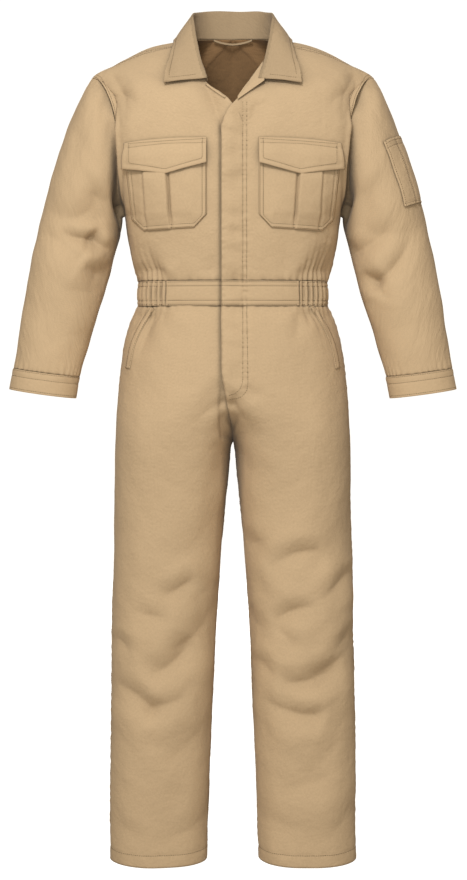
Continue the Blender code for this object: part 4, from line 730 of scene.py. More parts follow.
# ---------------------------------------------------------------------------------- meshes
def quads(rows, columns, tube):
    """The four corners of each face of a grid of points, closed all round if it is a tube."""
    index = np.arange(rows * columns).reshape(rows, columns)
    if tube:
        index = np.concatenate([index, index[:, :1]], axis=1)
    a, b = index[:-1, :-1], index[:-1, 1:]
    c, d = index[1:, 1:], index[1:, :-1]
    return np.stack([a, b, c, d], axis=-1).reshape(-1, 4)


def lengths_of(grid, axis):
    """Distances along a grid's columns or rows from its first one."""
    steps = np.linalg.norm(np.diff(grid, axis=axis), axis=-1)
    return np.concatenate([np.zeros_like(np.take(steps, [0], axis=axis)), np.cumsum(steps, axis=axis)],
                          axis=axis)


def area_of(grid, tube):
    """The cloth's area in square metres."""
    closed = np.concatenate([grid, grid[:, :1]], axis=1) if tube else grid
    one = np.cross(closed[1:, 1:] - closed[:-1, :-1], closed[1:, :-1] - closed[:-1, 1:])
    return float(np.linalg.norm(one, axis=-1).sum() / 2)


def shell(name, grids, normals, tube=False, thickness=CLOTH, slot="body_twill", inside=None,
          plumb=False):
    """A thin closed shell of cloth from one or more grids, given its thickness by a modifier.

    The weave follows the rows and columns, or, if plumb, the height and the side seam.
    """
    points, faces, cut = [], [], []
    first = 0
    for grid, normal in zip(grids, normals):
        rows, columns = grid.shape[:2]
        found = quads(rows, columns, tube)
        a, b, c, d = (grid.reshape(-1, 3)[found[len(found) // 2][n]] for n in range(4))
        if np.dot(np.cross(c - a, d - b), normal.reshape(-1, 3)[found[len(found) // 2][0]]) < 0:
            found = found[:, ::-1]
        points.append(grid.reshape(-1, 3))
        faces.append(found + first)
        first += rows * columns
        across, down = lengths_of(grid, 1), lengths_of(grid, 0)
        if plumb:
            across, down = across[:, -1:] - across, -grid[:, :, 2]
        cut.append(np.stack([across, down], axis=-1).reshape(-1, 2))
    points, faces, cut = np.concatenate(points), np.concatenate(faces), np.concatenate(cut)
    mesh = bpy.data.meshes.new(name)
    mesh.from_pydata(points.tolist(), [], faces.tolist())
    layer = mesh.uv_layers.new(name="cut")
    corners = np.zeros(len(mesh.loops), dtype=np.int32)
    mesh.loops.foreach_get("vertex_index", corners)
    layer.data.foreach_set("uv", cut[corners].astype(np.float32).ravel())
    mesh.materials.append(SLOT_CLOTH[slot])
    # the inner faces take the second material, which for most pieces is the darker inside cloth: painted
    # shade
    mesh.materials.append(inside or SLOT_CLOTH[slot])
    mesh.shade_smooth()
    made = bpy.data.objects.new("cloth_" + name, mesh)
    bpy.context.scene.collection.objects.link(made)
    if len(grids) > 1:
        weld = made.modifiers.new("weld", "WELD")
        weld.merge_threshold = WELD
    wall = made.modifiers.new("wall", "SOLIDIFY")
    wall.thickness = thickness
    wall.offset = 0.0
    wall.use_rim = True
    wall.material_offset = 1
    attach(made, "root")
    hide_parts(name)
    width = sum(float(lengths_of(grid, 1)[:, -1].max()) for grid in grids)
    if tube:
        width += float(np.linalg.norm(grids[0][:, 0] - grids[0][:, -1], axis=-1).max())
    long = max(float(lengths_of(grid, 0)[-1].max()) for grid in grids)
    area = sum(area_of(grid, tube) for grid in grids)
    if area < THREE_CORNERED * width * long:
        width = 2 * area / long
    width, long = max(width, LEAST_CUT), max(long, LEAST_CUT)
    return made


class Panel:
    """A panel's final surface, which other pieces and stitches are laid on."""

    def __init__(self, grid, normals, tube=False):
        self.grid = grid
        self.normals = normals
        self.tube = tube
        self.faces = quads(grid.shape[0], grid.shape[1], tube)
        self.tree = BVHTree.FromPolygons([Vector(p) for p in grid.reshape(-1, 3)],
                                         [tuple(face) for face in self.faces])

    def at(self, x, z, from_front=True):
        """The surface point and normal that lie straight behind, or before, an x and z."""
        start = Vector((x, -1.0 if from_front else 1.0, z))
        hit, _, index, _ = self.tree.ray_cast(start, Vector((0, 1.0 if from_front else -1.0, 0)))
        if hit is None:
            hit, _, index, _ = self.tree.find_nearest(Vector((x, -0.1 if from_front else 0.1, z)))
        corners = self.faces[index]
        near = self.grid.reshape(-1, 3)[corners]
        weights = 1 / (np.linalg.norm(near - np.array(hit), axis=1) + 1e-5)
        normal = unit((self.normals.reshape(-1, 3)[corners] * weights[:, None]).sum(axis=0))
        return np.array(hit), normal

    def lay(self, places, lifts, from_front=True):
        """A grid on the panel: each x and z is moved out from the panel by its lift."""
        out = np.zeros(places.shape[:2] + (3,))
        for r in range(places.shape[0]):
            for c in range(places.shape[1]):
                point, normal = self.at(places[r, c, 0], places[r, c, 1], from_front)
                out[r, c] = point + normal * lifts[r, c]
        return out

    def read(self, rows, columns):
        """Points and normals at fractional rows and columns."""
        rows = np.clip(rows, 0, self.grid.shape[0] - 1.001)
        count = self.grid.shape[1]
        if not self.tube:
            columns = np.clip(columns, 0, count - 1.001)
        low_r, low_c = np.floor(rows).astype(int), np.floor(columns).astype(int)
        a, b = (rows - low_r)[:, None], (columns - low_c)[:, None]
        out = []
        for field in (self.grid, self.normals):
            left = low_c % count
            right = (low_c + 1) % count
            out.append((1 - a) * (1 - b) * field[low_r, left] + (1 - a) * b * field[low_r, right]
                       + a * (1 - b) * field[low_r + 1, left] + a * b * field[low_r + 1, right])
        return out[0], unit(out[1])


# ---------------------------------------------------------------------------------- stitches
STITCHES = {"points": [], "faces": [], "count": 0}


def stitch(points, normals, raise_by=CLOTH / 2):
    """Rows of short raised threads along a line of points."""
    reach = travel(points)
    total = int(reach[-1] / (STITCH + STITCH_GAP))
    for n in range(total):
        ends = []
        for place in (n * (STITCH + STITCH_GAP), n * (STITCH + STITCH_GAP) + STITCH):
            ends.append((np.array([np.interp(place, reach, points[:, k]) for k in range(3)]),
                         unit(np.array([np.interp(place, reach, normals[:, k]) for k in range(3)]))))
        (start, up), (end, up_end) = ends
        run = unit(end - start)
        aside = np.cross(run, up) * THREAD_HALF
        base = STITCHES["count"]
        for spot, rise in ((start, up), (end, up_end)):
            low = spot + rise * (raise_by - THREAD_SINK)
            STITCHES["points"] += [low - aside, low + aside]
        middle = (start + end) / 2 + (up + up_end) / 2 * (raise_by + THREAD_RISE)
        raised = run * STITCH * THREAD_FLAT
        STITCHES["points"] += [middle - raised, middle + raised]
        a, b, c, d, e, f = range(base, base + 6)
        STITCHES["faces"] += [(a, c, f, e), (d, b, e, f), (b, a, e), (c, d, f), (a, b, d, c)]
        STITCHES["count"] += 6


def stitch_on(panel, places, raise_by=CLOTH / 2, from_front=True, step=0.003):
    """Stitches along straight runs between x and z places on a panel."""
    places = np.array(places, float)
    reach = travel(places)
    count = max(int(reach[-1] / step), 2)
    found = [panel.at(np.interp(at, reach, places[:, 0]), np.interp(at, reach, places[:, 1]), from_front)
             for at in np.linspace(0.0, reach[-1], count)]
    stitch(np.array([f[0] for f in found]), np.array([f[1] for f in found]), raise_by)


def stitch_grid(panel, rows, columns, raise_by=CLOTH / 2):
    """Stitches along fractional rows and columns of a panel's own grid."""
    count = max(len(np.atleast_1d(rows)), len(np.atleast_1d(columns)))
    rows = np.broadcast_to(rows, count).astype(float)
    columns = np.broadcast_to(columns, count).astype(float)
    stitch(*panel.read(rows, columns), raise_by)


# ---------------------------------------------------------------------------------- the panels
def near_edge(grid, sides):
    """How far the cloth dips towards the seams on the given sides of a grid."""
    across = lengths_of(grid, 1)
    down = lengths_of(grid, 0)
    gaps = {"first_column": across, "last_column": across[:, -1:] - across,
            "first_row": down, "last_row": down[-1:] - down}
    dip = np.zeros(grid.shape[:2])
    for side in sides:
        dip = np.maximum(dip, close_to(gaps[side], 0.0, SEAM_REACH))
    return dip * SEAM_DIP


def gather(share, beyond, hand, face):
    """Gathers by the elastic: uneven grooves that fade at their own distances beyond the band."""
    along = (share - ELASTIC_SHARE) / (1 - ELASTIC_SHARE)
    inside = ease(along, -0.06, 0.02)
    push = BESIDE_GROOVES * np.exp(-beyond / GATHER_FADE) * inside
    for place, depth, reach in GROOVES[(hand, face)]:
        push = push - depth * close_to(along, place, GROOVE_WIDTH) * np.exp(-beyond / reach / 1.5)
    return push * GATHER * (BAND_GATHER + (1 - BAND_GATHER) * ease(beyond, 0.0, GATHER_FADE))


def level_part(normals):
    """Normals laid level, so that what is pushed along them keeps its height."""
    return unit(normals * np.array([1.0, 1.0, 0.0]))


PANELS = {}              # name: the panel's final surface, and the rows and shares of its form


def bodice_half(side, hand, face):
    """Half of the bodice's front or back: its form, and the folds, gathers and seams on it."""
    lap = 0.0 if face == "back" else (LAP if side > 0 else UNDERLAP)
    trial = np.linspace(0.0, TOP_ROW, 400)
    line = bodice_grid(face, trial, [0.55])[:, 0]
    reach = travel(line)
    rows = np.interp(np.linspace(0.0, reach[-1], int(reach[-1] / FINE)), reach, trial)
    shares = even_shares(lambda s: bodice_grid(face, [4.5], s, lap)[0], int(0.27 / FINE))
    grid = bodice_grid(face, rows, shares, lap)
    if side < 0:
        grid = mirrored(grid)
    normals = grid_normals(grid, False, OUTWARD[face])
    level = grid[:, :, 2]
    push = -fold_depth(grid, normals) * held_at(level - WAIST_TOP_Z)
    push += ripple(grid, 3 if face == "front" else 4, 0.11, 0.0016)
    push += ripple(grid, 13 if face == "front" else 14, 0.055, SWELL)
    share = np.repeat(shares[None, :], len(rows), axis=0)
    drawn = gather(share, np.maximum(level - WAIST_TOP_Z, 0.0), hand, face)
    if face == "front" and side > 0:
        x = grid[:, :, 0]
        push += fly_push(x, level) * (1 - ease(level, -0.125, -0.105))
    if face == "front" and side < 0:
        push -= beside_fly(grid)
    push -= near_edge(grid, ["last_column", "first_row"])
    push -= SEAM_GROOVE * near_edge(grid, ["last_row"])
    across, down = lengths_of(grid, 1), lengths_of(grid, 0)
    from_side = across[:, -1:] - across
    push += pucker(from_side, down, 1.0 + side) * (1 - ease(rows, UNDERARM_ROW - 0.6, UNDERARM_ROW))[:, None]
    push += pucker(down, across, 2.0 + side)
    if face == "back":
        top = close_to(rows, *SHOULDER_LIFT_ROWS)[:, None]
        push += SHOULDER_LIFT * top * np.sin(np.pi * np.clip(shares, 0, 1) ** 0.8)[None, :]
    else:
        lip = ease(level, -0.305, -0.270) * (1 - ease(level, -0.160, -0.110))
        push += ARMHOLE_LIP * close_to(from_side, *ARMHOLE_LIP_AT) * lip
    grid = grid + normals * push[:, :, None] + level_part(normals) * drawn[:, :, None]
    return grid, grid_normals(grid, False, OUTWARD[face]), rows, shares


def fly_push(x, level):
    """The raised fly with its two stitched lines and the puckers across it."""
    push = FLY_RAISE * (1 - ease(x, -0.012, 0.016)) * (0.3 + 0.7 * ease(level, -0.660, -0.600))
    used = ease(level, -0.628, -0.600)
    for line in FLY_STITCH_X:
        push = push - LINE_GROOVE * close_to(x, line, 0.0021) * used
    slant = level + 0.12 * x
    wave = uneven_wave(slant, 150, 37, 1.6) + 0.7 * np.sin(slant * 83 + 2.0)
    across = close_to(x, 0.001, 0.016)
    small = uneven_wave(level, 590, 130, 2.0) * close_to(x, 0.0210, 0.0070)
    edge = uneven_wave(level, 470, 71, 1.7) * close_to(x, -LAP, 0.0060)
    return push + (FLY_PUCKER * wave * across + LINE_PUCKER * (small + edge)) * ease(level, -0.640, -0.610)


def pucker(gap, along, seed):
    """Small puckers where cloth is drawn up along a seam."""
    wave = uneven_wave(along, 300, 76, 2.2, seed) + 0.6 * np.sin(along * 495 + seed * 2)
    return SEAM_PUCKER * wave * close_to(gap, 0.0, SEAM_PUCKER_REACH)


def beside_fly(grid):
    """How far the right front gives way beside the fly's edge."""
    x, level = grid[:, :, 0], grid[:, :, 2]
    beside = close_to(np.maximum(-LAP - x, 0.0), 0.0, 0.0040)
    return UNDER_FLY * beside * (1 - ease(level, -0.165, -0.140)) * ease(level, -0.710, -0.695)


def build_bodice():
    """Two fronts, and the back in one piece from its two halves."""
    back_grids, back_normals = [], []
    for side, hand in HANDS:
        grid, normals, rows, shares = bodice_half(side, hand, "front")
        PANELS["front_" + hand] = (Panel(grid, normals), rows, shares)
        shell("front_" + hand, [grid], [normals], inside=SHADED_INSIDE)
        grid, normals, rows, shares = bodice_half(side, hand, "back")
        PANELS["back_" + hand] = (Panel(grid, normals), rows, shares)
        back_grids.append(grid)
        back_normals.append(normals)
    shell("back", back_grids, back_normals, inside=SHADED_INSIDE)


def build_waistband():
    """Flat parts beside the fly and at the back, with a gathered part over each side seam."""
    levels = np.linspace(WAIST_TOP_Z, WAIST_LOW_Z, int(BAND_HEIGHT / SMALL))
    height = (levels - WAIST_LOW_Z) / BAND_HEIGHT
    stitched = np.zeros(len(levels))
    for at in BAND_STITCHES:
        stitched = np.maximum(stitched, close_to(height, at, BAND_LINE / BAND_HEIGHT))
    flat = np.linspace(0.0, ELASTIC_SHARE, BAND_FLAT_COUNT)
    elastic = np.linspace(ELASTIC_SHARE, 1.0, BAND_ELASTIC_COUNT)
    round_side = np.concatenate([elastic, elastic[::-1][1:]])
    on_front = np.arange(len(round_side)) < BAND_ELASTIC_COUNT
    backs, back_normals = [], []
    for side, hand in HANDS:
        lap = LAP if side > 0 else UNDERLAP
        for part in ("front", "side", "back"):
            if part == "side":
                grid = np.concatenate([band_grid("front", elastic, levels, lap),
                                       band_grid("back", elastic[::-1][1:], levels)], axis=1)
            else:
                grid = band_grid(part, flat, levels, lap if part == "front" else 0.0)
            grid = grid if side > 0 else mirrored(grid)
            outward = (side, 0, 0) if part == "side" else OUTWARD[part]
            normals = grid_normals(grid, False, outward)
            push = -0.0007 * stitched[:, None] * np.ones(grid.shape[1])[None, :]
            if part == "side":
                wave = np.where(on_front, gather(round_side, 0.0, hand, "front"),
                                gather(round_side, 0.0, hand, "back"))
                swell = np.sin(np.pi * height)
                push = push + wave[None, :] * (1.0 + 1.4 * swell - 0.8 * stitched * swell)[:, None]
                along = np.linspace(0, 1, grid.shape[1])
                ends = close_to(along, 0.0, BAND_END) + close_to(along, 1.0, BAND_END)
                push = push - 0.0008 * ends[None, :]
            else:
                push = push + ripple(grid, 9, 0.05, 0.0008) + BAND_RAISE
                x = np.abs(grid[:, :, 0])
                turn = (grid[:, :, 2] - WAIST_LOW_Z) / BAND_HEIGHT * np.pi * 2.0 + x * 60
                push = push + close_to(x, BAND_PULL_X, 0.020) * np.sin(turn) * 0.0008
            if part == "front" and side > 0:
                push = push + fly_push(grid[:, :, 0], grid[:, :, 2])
            if part == "front" and side < 0:
                push = push - beside_fly(grid)
            grid = grid + normals * push[:, :, None]
            normals = grid_normals(grid, False, outward)
            if part == "back":
                backs.append(grid)
                back_normals.append(normals)
            else:
                name = "waistband_" + part + "_" + hand
                shell(name, [grid], [normals], slot="waistband_twill", inside=SHADED_INSIDE)
            panel = Panel(grid, normals)
            for at in BAND_STITCHES:
                stitch_grid(panel, (1 - at) * (len(levels) - 1), np.linspace(0, grid.shape[1] - 1, 150))
            if part == "side":
                for column in (1.5, grid.shape[1] - 2.5):
                    stitch_grid(panel, np.linspace(0, len(levels) - 1, 24), column)
    shell("waistband_back", backs, back_normals, slot="waistband_twill", inside=SHADED_INSIDE)


def soften_parting(grid, levels):
    """Rounds the form off where the trunk parts into two legs, away from the inseam itself."""
    near = close_to(levels, CROTCH_Z, 0.035)[:, None]
    share = near * (1 - close_to(lengths_of(grid, 1), 0.0, 0.025))
    for _ in range(70):
        blurred = (grid[:-2, :, :2] + 2 * grid[1:-1, :, :2] + grid[2:, :, :2]) / 4
        grid[1:-1, :, :2] += (blurred - grid[1:-1, :, :2]) * share[1:-1, :, None]
    return grid


def build_legs():
    """Four trouser panels: each runs from the waistband to its hem, between the side seam and the middle."""
    for side, hand in HANDS:
        for face in ("front", "back"):
            lap = 0.0 if face == "back" else (LAP if side > 0 else UNDERLAP)
            levels = np.concatenate([
                np.linspace(WAIST_LOW_Z, SEAT_LOW_Z, int(0.25 / FINE), endpoint=False),
                np.linspace(SEAT_LOW_Z, HEM_Z, int(0.74 / MEDIUM))])
            shares = even_shares(lambda s: leg_grid(face, [-0.60], s, lap)[0], LEG_COUNT)
            grid = leg_grid(face, levels, shares, lap)
            grid = soften_parting(grid, levels)
            grid = grid if side > 0 else mirrored(grid)
            middle_line = grid[:, 0, 0].copy()
            out = OUTWARD[face]
            normals = grid_normals(grid, False, out)
            level = grid[:, :, 2]
            push = -fold_depth(grid, normals) * held_at(WAIST_LOW_Z - level)
            push += ripple(grid, 5 if face == "front" else 6, 0.13, 0.0018)
            push += ripple(grid, 15 if face == "front" else 16, 0.060, SWELL)
            share = np.repeat(shares[None, :], len(levels), axis=0)
            drawn = gather(share, np.maximum(WAIST_LOW_Z - level, 0.0), hand, face)
            from_hem = level - HEM_Z
            wave = uneven_wave(grid[:, :, 0], 210, 47, 2.0)
            push += wave * 0.0006 * close_to(from_hem, HEM_STITCH, 0.010)
            push -= 0.0007 * close_to(from_hem, HEM_STITCH, 0.0026)
            if face == "front" and side > 0:
                push += fly_push(grid[:, :, 0], level)
            if face == "front" and side < 0:
                push -= beside_fly(grid)
            push -= near_edge(grid, ["last_column", "first_row"])
            across, down = lengths_of(grid, 1), lengths_of(grid, 0)
            push += pucker(across[:, -1:] - across, down, 3.0 + side)
            push += pucker(across, down, 4.0 + side) * ease(-level, 0.68, 0.72)
            push += pucker(down, across, 5.0 + side)
            crotch = ease(-level, 0.642, 0.700) * (1 - ease(-level, 0.76, 0.90))
            turned_in = CROTCH_TURN * close_to(across, 0.0, 0.0070) * crotch
            below = ease(-level, 0.66, 0.70)
            push -= near_edge(grid, ["first_column"]) * below
            if face == "back":
                push -= near_edge(grid, ["first_column"]) * (1 - below)
            grid = grid + normals * push[:, :, None] + level_part(normals) * drawn[:, :, None]
            grid[:, :, 1] += turned_in
            closed = ease(levels, -0.724, -0.708) * (1 - ease(levels, -0.675, -0.660))
            drift = (middle_line - side * CROTCH_OVERLAP - grid[:, 0, 0]) * closed
            grid[:, :, 0] += drift[:, None] * close_to(across, 0.0, 0.020)
            normals = grid_normals(grid, False, out)
            name = "leg_" + face + "_" + hand
            shell(name, [grid], [normals], inside=SHADED_INSIDE, plumb=True)
            panel = Panel(grid, normals)
            PANELS[name] = (panel, levels, shares)
            leg_stitches(panel, levels, grid, face)


def column_at(grid, gap, from_end):
    """The fractional column at a set distance from a side edge, for each row."""
    across = lengths_of(grid, 1)
    out = []
    for line in across:
        where = line[-1] - gap if from_end else gap
        out.append(float(np.interp(where, line, range(len(line)))))
    return np.array(out)


def leg_stitches(panel, levels, grid, face):
    """Rows of stitches round the hem, along the inseam and, on the back, along the seat seam."""
    rows = np.arange(len(levels))
    hem_row = float(np.interp(-(HEM_Z + HEM_STITCH), -levels, rows))
    stitch_grid(panel, hem_row, np.linspace(0, grid.shape[1] - 1, 120))
    below = rows[levels < -0.715]
    for gap in INSEAM_STITCHES:
        columns = column_at(grid, gap, False)
        stitch_grid(panel, below, columns[below])
    if face == "front":
        stitch_grid(panel, rows, column_at(grid, SIDE_STITCH, True))
    else:
        upper = rows[levels > -0.66]
        for gap in SEAT_STITCHES:
            columns = column_at(grid, gap, False)
            stitch_grid(panel, upper, columns[upper])


def build_sleeves():
    """Two tubes and their cuffs; turn 0 of each is its outer edge, as on the form."""
    trial = np.linspace(0.0, 10.0, 500)
    reach = travel(sleeve_grid(trial, np.array([np.pi / 2]))[:, 0])
    cuff_reach = float(np.interp(CUFF_FROM, trial, reach))
    turns = np.linspace(0, 2 * np.pi, SLEEVE_COUNT, endpoint=False)
    for side, hand in HANDS:
        for part, start, end, step in (("sleeve", 0.0, cuff_reach, SLEEVE_STEP),
                                       ("cuff", cuff_reach, reach[-1], SMALL)):
            places = np.linspace(start, end, int((end - start) / step))
            if part == "sleeve":
                places = np.concatenate([np.arange(0.0, 0.024, 0.0015), places[places > 0.025]])
            lengths = np.interp(places, reach, trial)
            grid = sleeve_grid(lengths, turns)
            grid = grid if side > 0 else mirrored(grid)
            middle = len(turns) // 2
            out = grid[len(grid) // 2, middle] - grid[len(grid) // 2].mean(axis=0)
            normals = grid_normals(grid, True, out)
            along = np.interp(lengths, trial, reach)
            if part == "sleeve":
                push = -fold_depth(grid, normals)
                push += ripple(grid, 7, 0.10, 0.0018) * ease(along, 0.0, 0.03)[:, None]
                push += ripple(grid, 17, 0.050, SWELL) * ease(along, 0.0, 0.03)[:, None]
                drawn = uneven_wave(turns, 31, 5, 2) * 0.0009
                push += drawn[None, :] * np.exp(-((cuff_reach - along) / 0.014))[:, None]
                away = lengths_of(grid, 0)
                push -= SEAM_DIP * close_to(away, 0.0, SEAM_REACH)
                degrees = np.degrees(np.minimum(turns, 2 * np.pi - turns))
                low = ease(degrees, 58, 108) * (1 - ease(degrees, 172, 180))
                wide = (0.0045 + 0.0015 * ease(degrees, 95, 150))[None, :]
                deep = (0.35 + 0.65 * ease(degrees, 80, 140)) * low
                push -= ARMPIT_CREASE * deep[None, :] * away / wide * np.exp(1 - away / wide)
                drawn = pucker(away, np.repeat(turns[None, :] * 0.11, len(grid), axis=0), 6.0 + side)
                push += drawn * ease(away, 0.0, 0.006)
                push -= SEAM_DIP * close_to(along, cuff_reach, 0.003)[:, None]
            else:
                push = 0.0012 + ripple(grid, 8, 0.05, 0.0008)
                from_top = along - cuff_reach
                push = push - 0.0010 * close_to(from_top, 0.0, 0.002)[:, None]
                push = push - 0.0006 * close_to(from_top, CUFF_STITCHES[1], 0.002)[:, None]
            grid = grid + normals * push[:, :, None]
            normals = grid_normals(grid, True, out)
            name = part + "_" + hand
            shell(name, [grid], [normals], tube=True, inside=SHADED_INSIDE,
                  slot="body_twill" if part == "sleeve" else "cuff_twill")
            panel = Panel(grid, normals, True)
            PANELS[name] = (panel, lengths, turns)
            columns = np.linspace(0, len(turns) - 0.01, 180)
            if part == "cuff":
                for gap in CUFF_STITCHES + (along[-1] - cuff_reach - 0.004,):
                    row = float(np.interp(gap, along - cuff_reach, range(len(along))))
                    stitch_grid(panel, row, columns)
            else:
                rows = np.arange(len(lengths))
                for shift in (1.2, 3.2):
                    stitch_grid(panel, rows, np.full(len(rows), len(turns) / 2 + shift))


# ---------------------------------------------------------------------------------- pockets
POCKET_INNER_X = 0.0450
POCKET_OUTER_X = (0.1880, 0.1765)        # at the mouth and at the bottom
POCKET_TOP_Z = -0.1930
POCKET_LOW_Z = -0.3350
POCKET_CHAMFER = 0.0220  # its lower corners are cut off by this much
POCKET_SLOPE = -0.047    # pockets and flaps fall outwards by this share
POCKET_STITCHES = (0.0022, 0.0078)       # distances of its two rows of stitches from the edge
PLEAT_X = (0.1160, 0.1563)               # the pleat's two edges
PLEAT_LEAN = 0.0095      # and how far they lean in towards the bottom
FLAP_X = (0.0445, 0.1880)
FLAP_TOP_Z = -0.1810
FLAP_SIDE_Z = -0.2250
FLAP_POINT_X = 0.1165
FLAP_POINT_Z = -0.2402
FLAP_STITCH = 0.0078     # distance of the flap's row of stitches from its edge


def pocket_outer(down):
    """The pocket's outer edge leans in towards the bottom."""
    return POCKET_OUTER_X[0] + (POCKET_OUTER_X[1] - POCKET_OUTER_X[0]) * down


def pleat_x(n, down):
    """The pleat's edges lean in towards the bottom."""
    return PLEAT_X[n] - PLEAT_LEAN * down


def chest_pocket(side, hand):
    """A bag laid on the front, raised in its middle, with a pleat folded towards the sleeve."""
    panel = PANELS["front_" + hand][0]
    flip = np.array([side, 1.0])
    rows = np.linspace(0.0, 1.0, 56)
    shares = np.linspace(0.0, 1.0, 78)
    places = np.zeros((len(rows), len(shares), 2))
    lifts = np.zeros(places.shape[:2])
    for r, down in enumerate(rows):
        outer = pocket_outer(down)
        x = POCKET_INNER_X + (outer - POCKET_INNER_X) * shares
        inner_gap, outer_gap = x - POCKET_INNER_X, outer - x
        cut = np.maximum(0.0, np.maximum(POCKET_CHAMFER - inner_gap, POCKET_CHAMFER - outer_gap))
        low = POCKET_LOW_Z + cut
        places[r, :, 0] = x
        places[r, :, 1] = POCKET_TOP_Z + (low - POCKET_TOP_Z) * down + POCKET_SLOPE * inner_gap
        low_gap = (places[r, :, 1] - low - POCKET_SLOPE * inner_gap) * 0.9
        edge = np.maximum(np.minimum.reduce([inner_gap, outer_gap, low_gap]), 0.0)
        lift = 0.0013 + 0.0018 * ease(edge, 0.0, 0.004) - 0.0010 * close_to(edge, 0.0075, 0.002)
        lift += 0.0030 * ease(edge, 0.009, 0.030)
        near, far = pleat_x(0, down), pleat_x(1, down)
        closing = 1 - 0.65 * ease(down, 0.80, 1.0)
        layer = ease(x, near + 0.0004, near + 0.0022) * (1 - ease(x, far - 0.003, far + 0.002))
        lift += 0.0038 * layer * closing
        lift -= 0.0042 * close_to(x, near - 0.0014, 0.0019) * closing
        lift -= 0.0010 * close_to(x, far + 0.002, 0.0020) * closing
        lift = 0.0014 + (lift - 0.0014) * ease(down, 0.04, 0.38)
        lifts[r] = np.maximum(lift, 0.0011)
    grid = panel.lay(places * flip, lifts)
    normals = grid_normals(grid, False, (0, -1, 0))
    shell("pocket_" + hand, [grid], [normals], thickness=TRIM_CLOTH, slot="trim_twill")
    bag = Panel(grid, normals)
    for gap in POCKET_STITCHES:
        corner = POCKET_CHAMFER - POCKET_CHAMFER * 0.42 * gap / 0.008
        low = POCKET_LOW_Z + gap
        inner, outer = POCKET_INNER_X + gap, pocket_outer(1.0) - gap
        line = [(inner, POCKET_TOP_Z), (inner, low + corner), (inner + corner, low), (outer - corner, low),
                (outer, low + corner), (pocket_outer(0.0) - gap, POCKET_TOP_Z)]
        sloped = [(side * x, z + POCKET_SLOPE * (x - POCKET_INNER_X)) for x, z in line]
        stitch_on(bag, sloped, TRIM_CLOTH / 2)


def chest_flap(side, hand):
    """A pointed flap that springs off the front over the pocket's mouth."""
    panel = PANELS["front_" + hand][0]
    flip = np.array([side, 1.0])
    rows = np.linspace(0.0, 1.0, 30)
    shares = np.linspace(0.0, 1.0, 80)
    x = FLAP_X[0] + (FLAP_X[1] - FLAP_X[0]) * shares
    span = np.where(x < FLAP_POINT_X, FLAP_POINT_X - FLAP_X[0], FLAP_X[1] - FLAP_POINT_X)
    low = FLAP_POINT_Z + (FLAP_SIDE_Z - FLAP_POINT_Z) * np.abs(x - FLAP_POINT_X) / span
    places = np.zeros((len(rows), len(shares), 2))
    lifts = np.zeros(places.shape[:2])
    for r, down in enumerate(rows):
        places[r, :, 0] = x
        arch = 0.0025 * np.sin(np.pi * shares) * (1 - down)
        places[r, :, 1] = FLAP_TOP_Z + (low - FLAP_TOP_Z) * down + POCKET_SLOPE * (x - FLAP_X[0]) + arch
        from_top = (FLAP_TOP_Z - low) * down
        from_low = (FLAP_TOP_Z - low) * (1 - down)
        edge = np.minimum.reduce([x - FLAP_X[0], FLAP_X[1] - x, from_low])
        lift = 0.0022 + 0.0072 * ease(from_top, -0.004, 0.030)
        lift += 0.0008 * ease(edge, 0.0, 0.003) - 0.0007 * close_to(edge, FLAP_STITCH, 0.0022)
        lift -= 0.0010 * close_to(from_top, 0.0085, 0.0024)
        lift += 0.0007 * np.sin(x * 95 + side) * ease(from_top, 0.005, 0.03)
        lifts[r] = np.maximum(lift, 0.0014)
    grid = panel.lay(places * flip, lifts)
    normals = grid_normals(grid, False, (0, -1, 0))
    shell("flap_" + hand, [grid], [normals], thickness=TRIM_CLOTH, slot="trim_twill")
    flap = Panel(grid, normals)
    inner, outer = FLAP_X[0] + FLAP_STITCH, FLAP_X[1] - FLAP_STITCH
    side_z = FLAP_SIDE_Z + FLAP_STITCH
    around = [(inner, FLAP_TOP_Z - 0.001), (inner, side_z), (FLAP_POINT_X, FLAP_POINT_Z + FLAP_STITCH * 1.05),
              (outer, side_z), (outer, FLAP_TOP_Z - 0.001)]
    top = [(FLAP_X[0] + 0.002, FLAP_TOP_Z - 0.0022), (FLAP_X[1] - 0.002, FLAP_TOP_Z - 0.0022)]
    below_top = [(FLAP_X[0] + 0.003, FLAP_TOP_Z - 0.0095), (FLAP_POINT_X, FLAP_TOP_Z - 0.0068),
                 (FLAP_X[1] - 0.003, FLAP_TOP_Z - 0.0095)]
    for line in (around, top, below_top):
        sloped = [(side * x, z + POCKET_SLOPE * (x - FLAP_X[0])) for x, z in line]
        stitch_on(flap, sloped, TRIM_CLOTH / 2)


# ---------------------------------------------------------------------------------- small pieces
SIDE_POCKET = (          # along the opening, x and z of its edge
    (0.0, 0.1445, -0.4712),
    (1.0, 0.1660, -0.5050),
    (2.0, 0.1810, -0.5400),
    (3.0, 0.1890, -0.5800),
)
SIDE_POCKET_WIDTH = 0.009
REVERE_TOP = (0.0530, -0.0715, -0.0405)  # upper corner of the turned-out left front, under the collar's roll
REVERE_APEX = (0.0005, -0.1210, 0.0022)  # x, z and lift off the front at the foot of the neck opening
REVERE_OUTER = (0.0550, -0.0850, 0.0085)   # and at the corner that stands off the chest
REVERE_CLEAR = 0.0020    # the turned-out cloth keeps this far off the front
RIGHT_REVERE = ((0.0440, -0.0825), (0.0120, -0.1110))    # x and z of the right one's ends
RIGHT_REVERE_WIDTH = 0.0055
COLLAR_STATIONS = 74     # points along half of the collar
COLLAR_PATH = 44         # points from its seam to its edge
COLLAR_STITCH = 0.0085   # distance of its row of stitches from its edge
PEN_TURN = (-8.0, 62.0)  # degrees round the sleeve, back to front
PEN_BACK = (2.28, 4.20)  # sleeve sections of its mouth and its bottom at the back edge
PEN_RISE = (0.48, 0.10)  # and how much higher each of them is at the front edge
